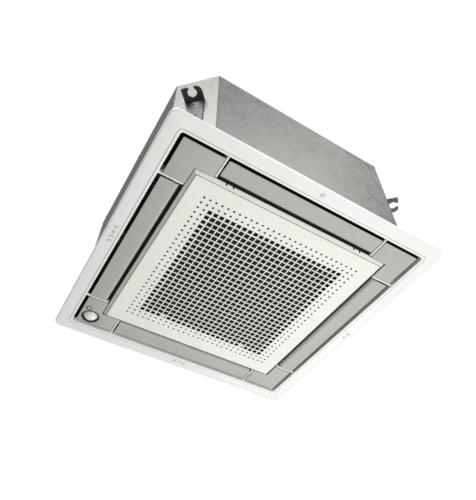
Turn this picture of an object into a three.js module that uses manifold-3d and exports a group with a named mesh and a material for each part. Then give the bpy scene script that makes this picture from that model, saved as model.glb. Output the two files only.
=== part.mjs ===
// Ceiling cassette air conditioner: a 620 mm decoration panel under a 575 mm galvanised casing.
// Millimetres, +Z up. The origin is the middle of the panel, in the plane of the ceiling's underside:
// the panel's flange hangs below z = 0 and the casing stands above it.
// What repeats on the four sides is drawn once at the front (-Y) and turned about Z
// for the right (+X), back (+Y) and left (-X) sides.
import * as THREE from "three";
import { mergeVertices } from "three/addons/utils/BufferGeometryUtils.js";
import Module from "manifold-3d";

const wasm = await Module();
wasm.setup();

// ---------------------------------------------------------------- driving dimensions
const GAP = 0.3; // clearance between pieces that touch

const SIDES = ["front", "right", "back", "left"]; // each a quarter turn after the one before

// casing
const CASING_HALF = 287.5;
const CASING_CORNER = 219; // where a flat side ends and its chamfer starts
const CASING_BOTTOM = 29;
const CASING_TOP = 289;
const SHEET = 1.2; // galvanised sheet
const LINER_WALL = 13;
const LINER_TOP = 16.5;
const PAN_TOP = 66;

// hanger brackets, as distances out from the chamfer's face
const HANGER_HALF_WIDTH = 20.5;
const HANGER_SHEET = 2.3;
const HANGER_REACH = 31;
const HANGER_TOP = 187;
const HANGER_BOTTOM = 60;
const ROD_OUT = 18.7; // suspension rods 533 mm apart
const ROD_SLOT_R = 9.5;
const ROD_SLOT_NECK = 11.5;

// panel
const PANEL_HALF = 310;
const PANEL_CORNER_R = 15;
const PANEL_FACE = -8.5;
const PANEL_SKIN = 2.5;
const WELL_HALF = 277.5; // inner edge of the white rim
const PANEL_WALL = 3;
const INLET_WALL_HALF = 227.5; // between the outlets and the inlet
const SHELF_HALF = 205; // opening of the shelf over the grille
const SHELF_Z = 3;
const DUCT_TOP = 26.7;
const OUTLET_END = 181.2; // inner face of the thin ribs beside each flap
const RIB = 3.3; // their thickness
const RIB_FACE = -5.2;
const DECK_HALF = 264; // corner decks stop short of the outer wall

// flaps
const FLAP_HALF_LENGTH = 177.6;
const FLAP_OUTER = 269.4;
const FLAP_PIVOT_OUT = 238.7;
const FLAP_PIVOT_Z = 1;
const FLAP_NOSE_R = 7.5;
const FLAP_SKIN = 2.3;
const PIN_R = 2.5;
const PIN_HOLE_R = 2.8;

// suction grille
const PITCH = 3 * 12.917; // every third row and column of the real perforation
const HOLE_COUNT = 9;
const HOLE_HALF = 16;
const GRILLE_FACE = -11;
const GRILLE_PLATE = 2.5;
const GRILLE_WALL = 2.2;
const GRILLE_FACE_HALF = 217.7;
const GRILLE_RIM_HALF = 223.3;
const GRILLE_BEVEL_TOP = -7;
const GRILLE_RIM_TOP = -1.5;
const HINGE_Y = -218.2;
const HINGE_Z = -5.2;
const HINGE_X = 150;
const HINGE_BORE_R = 1.75;
const HINGE_PIN_R = 1.5;
const BARREL_R = 2.4;
const LUG_R = 2.6;
const LUG_NECK = 0.2; // how far a lug's neck stands out in front of the pivot
const LUG_THICK = 3;
const LUG_STARTS = [HINGE_X - 9, HINGE_X + 6];
const LATCH_X = 103.3;
const LATCH_HOLE_Y = 155;
const FILTER_HALF = 192;
const FILTER_FOOT = -6;

// fan and coil
const FAN_R = 152;
const FAN_BOTTOM = 64;
const FAN_TOP = 198.5;
const BLADES = 7;
const BLADE_THICK = 3.2;
const SHAFT_R = 5.3; // bore over the motor's shaft
const MOUNT_ANGLES = [90, 210, 330];
const THROAT_R = 118;
const THROAT_TOP = 74;
const BELL_SHEET = 2.5;
const BELL_PLATE_HALF = 178;
const COIL_OUTER = 222;
const COIL_INNER = 186;
const COIL_END = 160; // the coil stops here on both sides of its open corner
const GAS_PIPE = { r: 6.35, y: 172, z: 120 };
const LIQUID_PIPE = { r: 3.2, y: 204, z: 168 };
const PIPE_END = 322;
const NUT_END = 338;
const PUMP = { x: 222, y: 222 };
const FLOAT_Y = 195.5;
const TROUGH_FLOOR = 45;
const COIL_TOP = 268;
const DRAIN = { x: 180, z: 200, end: 335 };

// electrics, beside the bell mouth's inlet
const CONTROL_X = [150, 220];
const CONTROL_HALF = 170;
const CONTROL_BOTTOM = 6.5;
const CONTROL_TOP = CASING_BOTTOM - 2.8;

// ---------------------------------------------------------------- materials
const finish = (color, roughness, metalness = 0) => ({ color, roughness, metalness });
const GALVANISED = finish(0xa9aaa6, 0.38, 0.85);
const BRACKET_STEEL = finish(0x8f908d, 0.4, 0.85);
const FOAM = finish(0xeeeeea, 0.9);
const WHITE_PLASTIC = finish(0xe9e9e6, 0.45);
const GREY_PLASTIC = finish(0xb1b1aa, 0.5);
const GRILLE_PLASTIC = finish(0xe8e9e0, 0.5);
const BLACK_PLASTIC = finish(0x1b1b1b, 0.55);
const FAN_PLASTIC = finish(0x3a3b3d, 0.5);
const MOTOR_STEEL = finish(0x4a4b4d, 0.4, 0.8);
const ALUMINIUM = finish(0xb9bcbf, 0.4, 0.9);
const COPPER = finish(0xb87548, 0.3, 0.95);
const BRASS = finish(0xc2a35a, 0.3, 0.95);
const RUBBER = finish(0x202020, 0.85);
const BLACK_FOAM = finish(0x262626, 0.95);
const GASKET_FOAM = finish(0x3c3c3c, 0.95);
const BOARD_GREEN = finish(0x2f6b45, 0.6);
const LENS_WHITE = finish(0xf2f2f2, 0.15);

// ---------------------------------------------------------------- solids
/** A closed geometry as a solid that can be joined and cut. */
function solidOf(geometry) {
  const bare = geometry.clone();
  bare.deleteAttribute("normal");
  bare.deleteAttribute("uv");
  const merged = mergeVertices(bare, 1e-4);
  const corners = merged.index.array;
  const triVerts = [];
  for (let i = 0; i < corners.length; i += 3) {
    const [a, b, c] = corners.slice(i, i + 3);
    if (a !== b && b !== c && c !== a) triVerts.push(a, b, c);
  }
  const vertProperties = merged.attributes.position.array;
  const mesh = new wasm.Mesh({ numProp: 3, vertProperties, triVerts: new Uint32Array(triVerts) });
  return new wasm.Manifold(mesh);
}

/** A solid's surface as a geometry. */
function geometryOf(solid) {
  const { vertProperties, triVerts } = solid.getMesh();
  const geometry = new THREE.BufferGeometry();
  geometry.setAttribute("position", new THREE.BufferAttribute(vertProperties, 3));
  geometry.setIndex(new THREE.BufferAttribute(triVerts, 1));
  geometry.computeVertexNormals();
  return geometry;
}

const join = (...parts) => geometryOf(parts.map(solidOf).reduce((whole, part) => whole.add(part)));
const cut = (base, ...tools) =>
  geometryOf(tools.map(solidOf).reduce((rest, tool) => rest.subtract(tool), solidOf(base)));
const common = (a, b) => geometryOf(solidOf(a).intersect(solidOf(b)));

// ---------------------------------------------------------------- shapes
const flatPoints = (pairs) => pairs.map(([x, y]) => new THREE.Vector2(x, y));
const radians = THREE.MathUtils.degToRad;

/** A box between two corners. */
const box = ([x0, x1], [y0, y1], [z0, z1]) =>
  new THREE.BoxGeometry(x1 - x0, y1 - y0, z1 - z0).translate((x0 + x1) / 2, (y0 + y1) / 2, (z0 + z1) / 2);

/** An outline extruded from z0 to z1, with holes. */
function prism(outline, z0, z1, holes = []) {
  const shape = new THREE.Shape(outline);
  shape.holes = holes.map((hole) => new THREE.Path(hole));
  return new THREE.ExtrudeGeometry(shape, { depth: z1 - z0, bevelEnabled: false }).translate(0, 0, z0);
}

/** Points of an arc, from one angle to another in degrees. */
function arc(cx, cy, r, from, to, steps) {
  return Array.from({ length: steps + 1 }, (_, i) => {
    const angle = radians(from + ((to - from) * i) / steps);
    return new THREE.Vector2(cx + r * Math.cos(angle), cy + r * Math.sin(angle));
  });
}

/** A circle's points. */
const circle = (cx, cy, r, sides = 24) => arc(cx, cy, r, 0, 360 - 360 / sides, sides - 1);

/** A square's outline with rounded corners. */
function roundedSquare(half, r, steps = 3) {
  const c = half - r;
  const corners = [[c, c, 0], [-c, c, 90], [-c, -c, 180], [c, -c, 270]];
  return corners.flatMap(([x, y, from]) => arc(x, y, r, from, from + 90, steps));
}

/** A rounded square ring. */
const ring = (outerHalf, outerR, innerHalf, innerR, z0, z1) =>
  prism(roundedSquare(outerHalf, outerR), z0, z1, [roundedSquare(innerHalf, innerR)]);

/** A round bar along Z. */
const bar = (r, z0, z1, sides = 24, x = 0, y = 0) =>
  new THREE.CylinderGeometry(r, r, z1 - z0, sides).rotateX(Math.PI / 2).translate(x, y, (z0 + z1) / 2);

/** A round bar along X. */
const barX = (r, x0, x1, y, z, sides = 16) =>
  new THREE.CylinderGeometry(r, r, x1 - x0, sides).rotateZ(Math.PI / 2).translate((x0 + x1) / 2, y, z);

/** A round bar along Y. */
const barY = (r, y0, y1, x, z, sides = 16) =>
  new THREE.CylinderGeometry(r, r, y1 - y0, sides).translate(x, (y0 + y1) / 2, z);

/** A profile of (radius, z) points turned about Z. A ring's profile runs counter-clockwise and closes. */
const turned = (profile, sides = 32) =>
  new THREE.LatheGeometry(flatPoints(profile), sides).rotateX(Math.PI / 2);

/** A profile of (y, z) points extruded along X. */
function alongX(profile, x0, x1) {
  const turn = new THREE.Matrix4().makeBasis(
    new THREE.Vector3(0, 1, 0),
    new THREE.Vector3(0, 0, 1),
    new THREE.Vector3(1, 0, 0),
  );
  return prism(profile, x0, x1).applyMatrix4(turn);
}

/** A round tube's solid along a smooth path through points. */
function hose(points, r, steps, sides = 8) {
  const path = new THREE.CatmullRomCurve3(points.map((p) => new THREE.Vector3(...p)));
  const shape = new THREE.Shape(circle(0, 0, r, sides));
  return new THREE.ExtrudeGeometry(shape, { extrudePath: path, steps, bevelEnabled: false });
}

/** The same shape at a place's mirror image in X. */
const bothEnds = (make) => [make(1), make(-1)];

/** Copies of front shapes on all four sides. */
const fourSides = (...parts) =>
  SIDES.flatMap((_, i) => parts.map((part) => part.clone().rotateZ((i * Math.PI) / 2)));

/** An interval, or its mirror image when side is -1. */
const span = (side, low, high) => (side > 0 ? [low, high] : [-high, -low]);

// ---------------------------------------------------------------- assembly
const unit = new THREE.Group();

/** Adds a sub-assembly. */
function assembly() {
  const group = new THREE.Group();
  unit.add(group);
  return group;
}

/** Adds a named piece, turned about Z by a number of quarter turns. */
function piece(group, name, geometry, look, quarters = 0) {
  const mesh = new THREE.Mesh(geometry, new THREE.MeshStandardMaterial(look));
  mesh.name = name;
  mesh.rotation.z = (quarters * Math.PI) / 2;
  group.add(mesh);
  return mesh;
}

// ---------------------------------------------------------------- casing
const CHAMFER_SUM = CASING_HALF + CASING_CORNER; // |x| + |y| on a chamfer's face
const CHAMFER_OUT = CHAMFER_SUM / Math.SQRT2; // its distance from the centre

/** Where a flat side ends on the casing's outline when it is moved in by inset. */
const cornerAt = (inset) => CHAMFER_SUM - inset * Math.SQRT2 - (CASING_HALF - inset);

/** The casing's eight-sided outline, moved in by inset. */
function casingOutline(inset) {
  const flat = CASING_HALF - inset;
  const corner = cornerAt(inset);
  const quarter = [[corner, -flat], [flat, -corner]];
  return flatPoints([
    ...quarter,
    ...quarter.map(([x, y]) => [-y, x]),
    ...quarter.map(([x, y]) => [-x, -y]),
    ...quarter.map(([x, y]) => [y, -x]),
  ]);
}

/** One bent sheet: the front side and the chamfer at its right end. */
function sidePlate() {
  const flat = CASING_HALF - SHEET;
  const step = GAP / Math.SQRT2;
  const inner = cornerAt(SHEET);
  const outline = [
    [-CASING_CORNER + GAP, -CASING_HALF],
    [CASING_CORNER, -CASING_HALF],
    [CASING_HALF - step, -CASING_CORNER - step],
    [flat - step, -inner - step],
    [inner, -flat],
    [-inner + GAP, -flat],
  ];
  return prism(flatPoints(outline), CASING_BOTTOM, CASING_TOP - SHEET - GAP);
}

function makeCasing() {
  const casing = assembly();
  const wall = [CASING_HALF - 5, CASING_HALF + 5];
  const holes = {
    right: [
      barY(GAS_PIPE.r + 1.5, -wall[1], -wall[0], GAS_PIPE.y, GAS_PIPE.z),
      barY(LIQUID_PIPE.r + 1.5, -wall[1], -wall[0], LIQUID_PIPE.y, LIQUID_PIPE.z),
    ],
    back: [barY(13.5, -wall[1], -wall[0], -DRAIN.x, DRAIN.z, 24)],
  };
  SIDES.forEach((side, i) => {
    const plate = holes[side] ? cut(sidePlate(), ...holes[side]) : sidePlate();
    piece(casing, `casing_side_${side}`, plate, GALVANISED, i);
  });
  piece(casing, "casing_top", prism(casingOutline(0), CASING_TOP - SHEET, CASING_TOP), GALVANISED);
  piece(casing, "foam_liner", foamLiner(), FOAM);
  const plate = box([CASING_HALF + GAP, CASING_HALF + 2.5], [156, 216], [102, 188]);
  const pipeHoles = [GAS_PIPE, LIQUID_PIPE].map(({ r, y, z }) => barX(r + 0.6, 280, 300, y, z));
  piece(casing, "pipe_plate", cut(plate, ...pipeHoles), GREY_PLASTIC);
  SIDES.forEach((side, i) => {
    piece(casing, `hanger_bracket_${side}`, hangerBracket(), BRACKET_STEEL, i + 0.5);
  });
}

/** Foam walls and roof inside the sheets, open below and over the motor. */
function foamLiner() {
  const inset = SHEET + GAP;
  const top = CASING_TOP - SHEET - GAP;
  const motorHole = circle(0, 0, 100, 32);
  const walls = prism(casingOutline(inset), PAN_TOP + GAP, top - 1, [casingOutline(inset + LINER_WALL)]);
  const roof = prism(casingOutline(inset), top - LINER_TOP, top, [motorHole]);
  const through = [CASING_HALF - 30, CASING_HALF];
  return cut(
    join(walls, roof),
    barX(GAS_PIPE.r + 1.5, ...through, GAS_PIPE.y, GAS_PIPE.z),
    barX(LIQUID_PIPE.r + 1.5, ...through, LIQUID_PIPE.y, LIQUID_PIPE.z),
    barY(14, ...through, DRAIN.x, DRAIN.z, 24),
  );
}

/** A hanger bracket on the front chamfer's own axes: x along the face, -y outwards. */
function hangerBracket() {
  const face = -CHAMFER_OUT - GAP;
  const outer = face - HANGER_SHEET;
  const tip = -CHAMFER_OUT - HANGER_REACH;
  const w = HANGER_HALF_WIDTH;
  const rodY = -CHAMFER_OUT - ROD_OUT;
  const plateOutline = flatPoints([
    [-8, HANGER_BOTTOM],
    [w, HANGER_BOTTOM],
    [w, HANGER_TOP],
    [-w, HANGER_TOP],
    [-w, HANGER_TOP - 8],
    [-8, HANGER_TOP - 62],
  ]);
  const upright = new THREE.Matrix4().makeBasis(
    new THREE.Vector3(1, 0, 0),
    new THREE.Vector3(0, 0, 1),
    new THREE.Vector3(0, -1, 0),
  );
  const plate = prism(plateOutline, -face, -outer).applyMatrix4(upright);
  const flangeOutline = [
    new THREE.Vector2(-w, face),
    new THREE.Vector2(-w, tip + 2),
    new THREE.Vector2(-w + 2, tip),
    new THREE.Vector2(w - 8, tip),
    ...arc(w - 14, tip + 14, 14, -60, 0, 4),
    new THREE.Vector2(w, face),
  ];
  const flange = prism(flangeOutline, HANGER_TOP - HANGER_SHEET, HANGER_TOP);
  const neck = ROD_SLOT_NECK / 2;
  return cut(
    join(plate, flange),
    bar(ROD_SLOT_R, HANGER_TOP - 10, HANGER_TOP + 10, 16, 0, rodY),
    box([-neck, neck], [tip - 1, rodY], [HANGER_TOP - 10, HANGER_TOP + 10]),
    barY(2.5, outer - 1, face + 1, -1, HANGER_TOP - 23, 10),
    box([-2.5, 7.5], [outer - 1, face + 1], [HANGER_TOP - 75.5, HANGER_TOP - 71.5]),
  );
}

// ---------------------------------------------------------------- fan, motor and bell mouth
/** One backward-curved blade, trimmed to the space between the hub plate and the shroud. */
function fanBlade() {
  const [innerR, outerR] = [106, FAN_R - 1.5];
  const sweep = -34; // degrees from the inner edge to the outer one
  const side = (half) =>
    [0, 0.33, 0.67, 1].map((t) => {
      const along = THREE.MathUtils.lerp(innerR, outerR, t) + half * 0.25;
      return new THREE.Vector2(along, half).rotateAround(new THREE.Vector2(), radians(sweep * t ** 1.3));
    });
  const blade = prism([...side(-BLADE_THICK / 2), ...side(BLADE_THICK / 2).reverse()], FAN_BOTTOM, FAN_TOP);
  const zone = [
    [100, 86], [123, 76], [131, 86], [FAN_R - 1, 93], [FAN_R - 1, FAN_TOP - 1], [96, FAN_TOP - 1],
    [88, 190], [100, 86],
  ];
  return common(blade, turned(zone));
}

/** Hub plate with a raised middle over the shaft, inlet shroud and blades. */
function turboFan() {
  const plateFoot = FAN_TOP - 2.4;
  const hub = [
    [SHAFT_R, 152], [16, 152], [22, 158], [58, 178], [92, plateFoot], [FAN_R, plateFoot],
    [FAN_R, FAN_TOP], [90, FAN_TOP], [56, 181], [18, 172], [SHAFT_R, 172], [SHAFT_R, 152],
  ];
  const shroud = [
    [122, FAN_BOTTOM], [124, FAN_BOTTOM], [125, 76], [133, 85.5], [FAN_R, 92],
    [FAN_R, 94.5], [131, 88], [122.5, 77], [122, FAN_BOTTOM],
  ];
  const blade = fanBlade();
  const blades = Array.from({ length: BLADES }, (_, i) => blade.clone().rotateZ((i * 2 * Math.PI) / BLADES));
  return join(turned(hub), turned(shroud), ...blades);
}

/** A square plate over the inlet and the flare that leads the air into the fan. */
function bellMouth() {
  const plateBottom = CASING_BOTTOM - BELL_SHEET;
  const inlet = circle(0, 0, 141, 32);
  const plate = prism(roundedSquare(BELL_PLATE_HALF, 8), plateBottom, CASING_BOTTOM - GAP, [inlet]);
  const [insideR, outsideR] = [22, 24.2]; // of the flare's two faces, about one centre
  const centre = { r: THROAT_R + outsideR, z: plateBottom + outsideR };
  const pairs = (points) => points.map(({ x, y }) => [x, y]);
  const flare = [
    [centre.r, plateBottom],
    ...pairs(arc(centre.r, centre.z, insideR, 270, 180, 4)),
    [THROAT_R + outsideR - insideR, THROAT_TOP],
    [THROAT_R, THROAT_TOP],
    ...pairs(arc(centre.r, centre.z, outsideR, 180, 270, 4)),
  ];
  return join(plate, turned(flare));
}

function makeFan() {
  const air = assembly();
  piece(air, "turbo_fan", turboFan(), FAN_PLASTIC);
  const nut = prism(circle(0, 0, 10, 6), 145.5, 151.7, [circle(0, 0, SHAFT_R, 16)]);
  piece(air, "fan_nut", nut, BRASS);

  const shaftR = SHAFT_R - GAP;
  const motor = [
    [0, 143.5], [shaftR, 143.5], [shaftR, 188], [24, 190], [58, 194], [60, 198], [60, 240], [54, 250],
    [20, 252], [0, 252],
  ];
  const arms = MOUNT_ANGLES.map((angle) => box([40, 84], [-9, 9], [246, 250]).rotateZ(radians(angle)));
  piece(air, "fan_motor", join(turned(motor, 24), ...arms), MOTOR_STEEL);
  const foot = 250 + GAP;
  const head = CASING_TOP - SHEET - GAP;
  const mount = [[0, foot], [9, foot], [9, 254], [6, 258], [9, 262], [9, head], [0, head]];
  MOUNT_ANGLES.forEach((angle, i) => {
    const rubber = turned(mount, 10).translate(75, 0, 0).rotateZ(radians(angle));
    piece(air, `motor_rubber_mount_${i + 1}`, rubber, RUBBER);
  });
  piece(air, "bell_mouth", bellMouth(), BLACK_PLASTIC);
}

// ---------------------------------------------------------------- coil and pipes
function makeCoil() {
  const coil = assembly();
  const bottom = TROUGH_FLOOR + GAP;
  const block = ring(COIL_OUTER, 60, COIL_INNER, 24, bottom, COIL_TOP);
  const openCorner = [COIL_END, COIL_OUTER + 5];
  const corner = box(openCorner, openCorner, [bottom - 5, COIL_TOP + 5]);
  piece(coil, "heat_exchanger", cut(block, corner), ALUMINIUM);
  const [low, high] = [COIL_END + 3, COIL_INNER - 1];
  const partition = flatPoints([[high, low], [high + 1, low + 1], [low + 1, high + 1], [low, high]]);
  piece(coil, "coil_partition", prism(partition, bottom + 1, COIL_TOP), GALVANISED);

  const levels = [95, 145, 195, 235]; // of the feeds into the coil's ends
  const gas = { x: 204, r: 7 };
  const gasFeeds = levels.map((z) => barY(3, COIL_END + GAP, GAS_PIPE.y, gas.x, z, 6));
  const gasHeader = bar(gas.r, 72, 250, 12, gas.x, GAS_PIPE.y);
  piece(coil, "gas_header", join(gasHeader, ...gasFeeds), COPPER);
  const liquid = { x: 176, r: 6 };
  const liquidFeeds = levels.map((z) => barX(2.4, COIL_END + GAP, liquid.x, LIQUID_PIPE.y, z, 6));
  const distributor = bar(liquid.r, 80, 240, 12, liquid.x, LIQUID_PIPE.y);
  piece(coil, "liquid_distributor", join(distributor, ...liquidFeeds), COPPER);

  const tail = (from, { r, y, z }, sides) => barX(r, from.x + from.r + GAP, PIPE_END, y, z, sides);
  piece(coil, "gas_pipe", tail(gas, GAS_PIPE, 24), COPPER);
  piece(coil, "liquid_pipe", tail(liquid, LIQUID_PIPE, 16), COPPER);
  piece(coil, "gas_flare_nut", flareNut(GAS_PIPE, 14), BRASS);
  piece(coil, "liquid_flare_nut", flareNut(LIQUID_PIPE, 9.5), BRASS);
}

/** A hexagon nut with a blind bore over a pipe's end, closed by its transport cap. */
function flareNut({ r, y, z }, hexR) {
  const nut = barX(hexR, PIPE_END - 16, NUT_END, y, z, 6);
  return cut(nut, barX(r + GAP, PIPE_END - 17, PIPE_END + GAP, y, z, 24));
}

// ---------------------------------------------------------------- drain pan, pump and hose
function makeDrain() {
  const drain = assembly();
  piece(drain, "drain_pan", drainPan(), BLACK_FOAM);

  const floor = TROUGH_FLOOR + GAP;
  const pumpProfile = [
    [0, floor], [12, floor], [14, 50], [14, 80], [20, 82], [20, 118], [17, 120], [17, 158], [15, 160],
    [0, 160],
  ];
  const pumpBody = turned(pumpProfile, 16).translate(PUMP.x, PUMP.y, 0);
  const spout = barX(6, PUMP.x - 24, PUMP.x - 8, PUMP.y, 100, 12);
  const arm = box([PUMP.x - 3, PUMP.x + 3], [FLOAT_Y - 2, PUMP.y - 10], [76, 79.5]);
  const stem = bar(2, 48, 77, 12, PUMP.x, FLOAT_Y);
  piece(drain, "drain_pump", join(pumpBody, spout, arm, stem), BLACK_PLASTIC);
  const float = prism(circle(0, 0, 9, 20), 47, 61, [circle(0, 0, 2.4, 12)]).translate(PUMP.x, FLOAT_Y, 0);
  piece(drain, "pump_float", float, WHITE_PLASTIC);

  const start = PUMP.x - 24 - GAP;
  const route = [
    [start, PUMP.y, 100], [start - 6, PUMP.y, 100], [186, 225, 116], [182, 230, 150], [180, 236, 182],
    [DRAIN.x, 248, DRAIN.z], [DRAIN.x, 262, DRAIN.z], [DRAIN.x, 270, DRAIN.z],
  ];
  piece(drain, "drain_hose", hose(route, 7, 18), RUBBER);
  const collar = [CASING_HALF + GAP, CASING_HALF + 3.5];
  const socket = [
    [10, 260], [13, 260], [13, collar[0]], [20, collar[0]], [20, collar[1]], [13, collar[1]],
    [13, DRAIN.end], [10, DRAIN.end], [10, 260],
  ];
  const turnedSocket = new THREE.LatheGeometry(flatPoints(socket), 24).translate(DRAIN.x, 0, DRAIN.z);
  piece(drain, "drain_socket", turnedSocket, GREY_PLASTIC);
}

/** Moulded pan under the coil: four outlets around the inlet, a trough and the pump's pocket. */
function drainPan() {
  const outer = casingOutline(SHEET + GAP);
  const inlet = roundedSquare(165, 25);
  const outlet = (i) => {
    const slot = flatPoints([[-179, -275], [179, -275], [179, -230], [-179, -230]]);
    return slot.map((p) => p.rotateAround(new THREE.Vector2(), (i * Math.PI) / 2));
  };
  const slab = prism(outer, CASING_BOTTOM, PAN_TOP, [inlet, outlet(0), outlet(1), outlet(2), outlet(3)]);
  const levels = [TROUGH_FLOOR, PAN_TOP + 5];
  const trough = ring(COIL_OUTER + 3, 62, COIL_INNER - 9, 15, ...levels);
  const pocket = common(box([186, 264], [186, 264], levels), prism(casingOutline(14), ...levels));
  return cut(slab, trough, pocket);
}

// ---------------------------------------------------------------- electrics
function makeElectrics() {
  const electrics = assembly();
  const [x0, x1] = CONTROL_X;
  const length = [-CONTROL_HALF, CONTROL_HALF];
  const tray = cut(
    box([x0, x1], length, [CONTROL_BOTTOM + 1.5, CONTROL_TOP]),
    box([x0 + 1, x1 - 1], [-CONTROL_HALF + 1, CONTROL_HALF - 1], [0, CONTROL_TOP - 1]),
  );
  piece(electrics, "control_box", tray, GALVANISED);
  const lid = box([x0, x1], length, [CONTROL_BOTTOM, CONTROL_BOTTOM + SHEET]);
  piece(electrics, "control_box_lid", lid, GALVANISED);

  const roof = CONTROL_TOP - 1 - GAP;
  const board = [20, 21.6];
  const parts = [
    box([160, 178], [-120, -90], [11, board[0] + 1]), // transformer
    box([184, 208], [-60, -38], [12, board[0] + 1]), // relay
    box([160, 172], [-30, 20], [14, board[0] + 1]), // connectors
    bar(8, 10, board[0] + 1, 16, 200, -110), // capacitors
    bar(6, 12, board[0] + 1, 16, 200, 20),
  ];
  const corners = [[160, -140], [210, -140], [160, 50], [210, 50]];
  const posts = corners.map(([x, y]) => bar(2.5, board[0] + 1, roof, 10, x, y));
  const laminate = box([155, 215], [-150, 60], board);
  piece(electrics, "circuit_board", join(laminate, ...posts, ...parts), BOARD_GREEN);

  const terminal = { x: [168, 204], y: 90, pitch: 11.6 };
  const strip = box(terminal.x, [terminal.y, terminal.y + 60], [14, roof]);
  const walls = Array.from({ length: 6 }, (_, i) => {
    const start = terminal.y + i * terminal.pitch;
    return box(terminal.x, [start, start + 2], [11, 15]);
  });
  piece(electrics, "terminal_block", join(strip, ...walls), WHITE_PLASTIC);
}

// ---------------------------------------------------------------- panel
const RIB_SPAN = [OUTLET_END, OUTLET_END + RIB];

/** The two thin walls at the ends of the front outlet. */
const outletRibs = (z0, z1) =>
  bothEnds((side) => box(span(side, ...RIB_SPAN), [-WELL_HALF - 1, -INLET_WALL_HALF + 1], [z0, z1]));

/** Flange, well wall, inlet wall, shelf, ribs beside the flaps, corner decks and roofs, and hinge lugs. */
function panelFrame() {
  const bevel = 1.2;
  const flangeShape = new THREE.Shape(roundedSquare(PANEL_HALF, PANEL_CORNER_R, 6));
  const flangeBlock = new THREE.ExtrudeGeometry(flangeShape, {
    depth: -PANEL_FACE - 2 * bevel,
    bevelThickness: bevel,
    bevelSize: bevel,
    bevelOffset: -bevel,
    bevelSegments: 2,
  }).translate(0, 0, PANEL_FACE + bevel);
  const flange = cut(
    flangeBlock,
    prism(roundedSquare(PANEL_HALF - PANEL_WALL, 12), PANEL_FACE + PANEL_SKIN, 10),
    prism(roundedSquare(WELL_HALF + 1, 6), PANEL_FACE - 10, 10),
  );
  const wellWall = ring(WELL_HALF + PANEL_WALL, 9, WELL_HALF, 6, PANEL_FACE, DUCT_TOP);
  const inletWall = ring(INLET_WALL_HALF, 4, INLET_WALL_HALF - PANEL_WALL, 2, SHELF_Z, DUCT_TOP);
  const shelf = ring(INLET_WALL_HALF - 1, 4, SHELF_HALF, 6, SHELF_Z, SHELF_Z + PANEL_SKIN);
  const ribs = outletRibs(RIB_FACE, DUCT_TOP);
  const deck = cut(
    box([OUTLET_END + 1, DECK_HALF], [-DECK_HALF, -OUTLET_END - 1], [SHELF_Z, SHELF_Z + PANEL_SKIN]),
    box([0, INLET_WALL_HALF - 1], [-INLET_WALL_HALF + 1, 0], [0, 10]),
    box([OUTLET_END + RIB + 0.5, 205], [-256, -229.5], [0, 10]),
  );
  const [roofStart, roofEnd] = [OUTLET_END + 1, WELL_HALF + 1];
  const roof = cut(
    box([roofStart, roofEnd], [-roofEnd, -roofStart], [DUCT_TOP - PANEL_SKIN, DUCT_TOP]),
    box([0, INLET_WALL_HALF - 1], [-INLET_WALL_HALF + 1, 0], [0, 50]),
  );
  const pinHoles = bothEnds((side) =>
    barX(PIN_HOLE_R, ...span(side, RIB_SPAN[0] - 1, RIB_SPAN[1] + 1), -FLAP_PIVOT_OUT, FLAP_PIVOT_Z, 10),
  );
  const solids = [flange, wellWall, inletWall, shelf, ...fourSides(...ribs, deck, roof), ...hingeLugs()];
  return cut(join(...solids), ...fourSides(...pinHoles));
}

/** Two pairs of lugs under the shelf's front edge, bored for the grille's hinge pins. */
function hingeLugs() {
  const outline = [
    new THREE.Vector2(HINGE_Y + 2 * LUG_R, SHELF_Z + 1),
    new THREE.Vector2(HINGE_Y - LUG_NECK, SHELF_Z + 1),
    new THREE.Vector2(HINGE_Y - LUG_NECK, HINGE_Z + LUG_R),
    ...arc(HINGE_Y, HINGE_Z, LUG_R, 105, 360, 10),
    new THREE.Vector2(HINGE_Y + LUG_R, HINGE_Z + 1),
  ];
  return [1, -1].flatMap((side) =>
    LUG_STARTS.map((start) => {
      const lug = alongX(outline, ...span(side, start, start + LUG_THICK));
      return cut(lug, barX(HINGE_BORE_R, ...span(side, start - 1, start + 4), HINGE_Y, HINGE_Z, 12));
    }),
  );
}

/** The foam strip on top of the panel's duct walls. */
function panelGasket() {
  const [z0, z1] = [DUCT_TOP + GAP, CASING_BOTTOM - GAP];
  const outerRing = ring(WELL_HALF + PANEL_WALL, 9, WELL_HALF, 6, z0, z1);
  const innerRing = ring(INLET_WALL_HALF, 4, INLET_WALL_HALF - PANEL_WALL, 2, z0, z1);
  return join(outerRing, innerRing, ...fourSides(...outletRibs(z0, z1)));
}

/** An outlet flap at the front: a flat blade, a round nose about its pivot, end cheeks and pins. */
function flap() {
  const y = -FLAP_PIVOT_OUT;
  const z = FLAP_PIVOT_Z;
  const face = z - FLAP_NOSE_R;
  const inside = face + FLAP_SKIN;
  const blade = [
    new THREE.Vector2(-FLAP_OUTER + 0.8, face),
    ...arc(y, z, FLAP_NOSE_R, -90, 75, 6),
    ...arc(y, z, FLAP_NOSE_R - FLAP_SKIN, 75, -90, 5),
    new THREE.Vector2(-FLAP_OUTER + 0.8, inside),
    new THREE.Vector2(-FLAP_OUTER, inside - 0.8),
    new THREE.Vector2(-FLAP_OUTER, face + 0.8),
  ];
  const end = FLAP_HALF_LENGTH;
  const cheek = (side) => barX(FLAP_NOSE_R, ...span(side, end - FLAP_SKIN, end), y, z, 12);
  const pin = (side) => barX(PIN_R, ...span(side, end - 2, RIB_SPAN[1] - 2 * GAP), y, z, 10);
  return join(alongX(blade, -FLAP_HALF_LENGTH, FLAP_HALF_LENGTH), ...bothEnds(cheek), ...bothEnds(pin));
}

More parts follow.
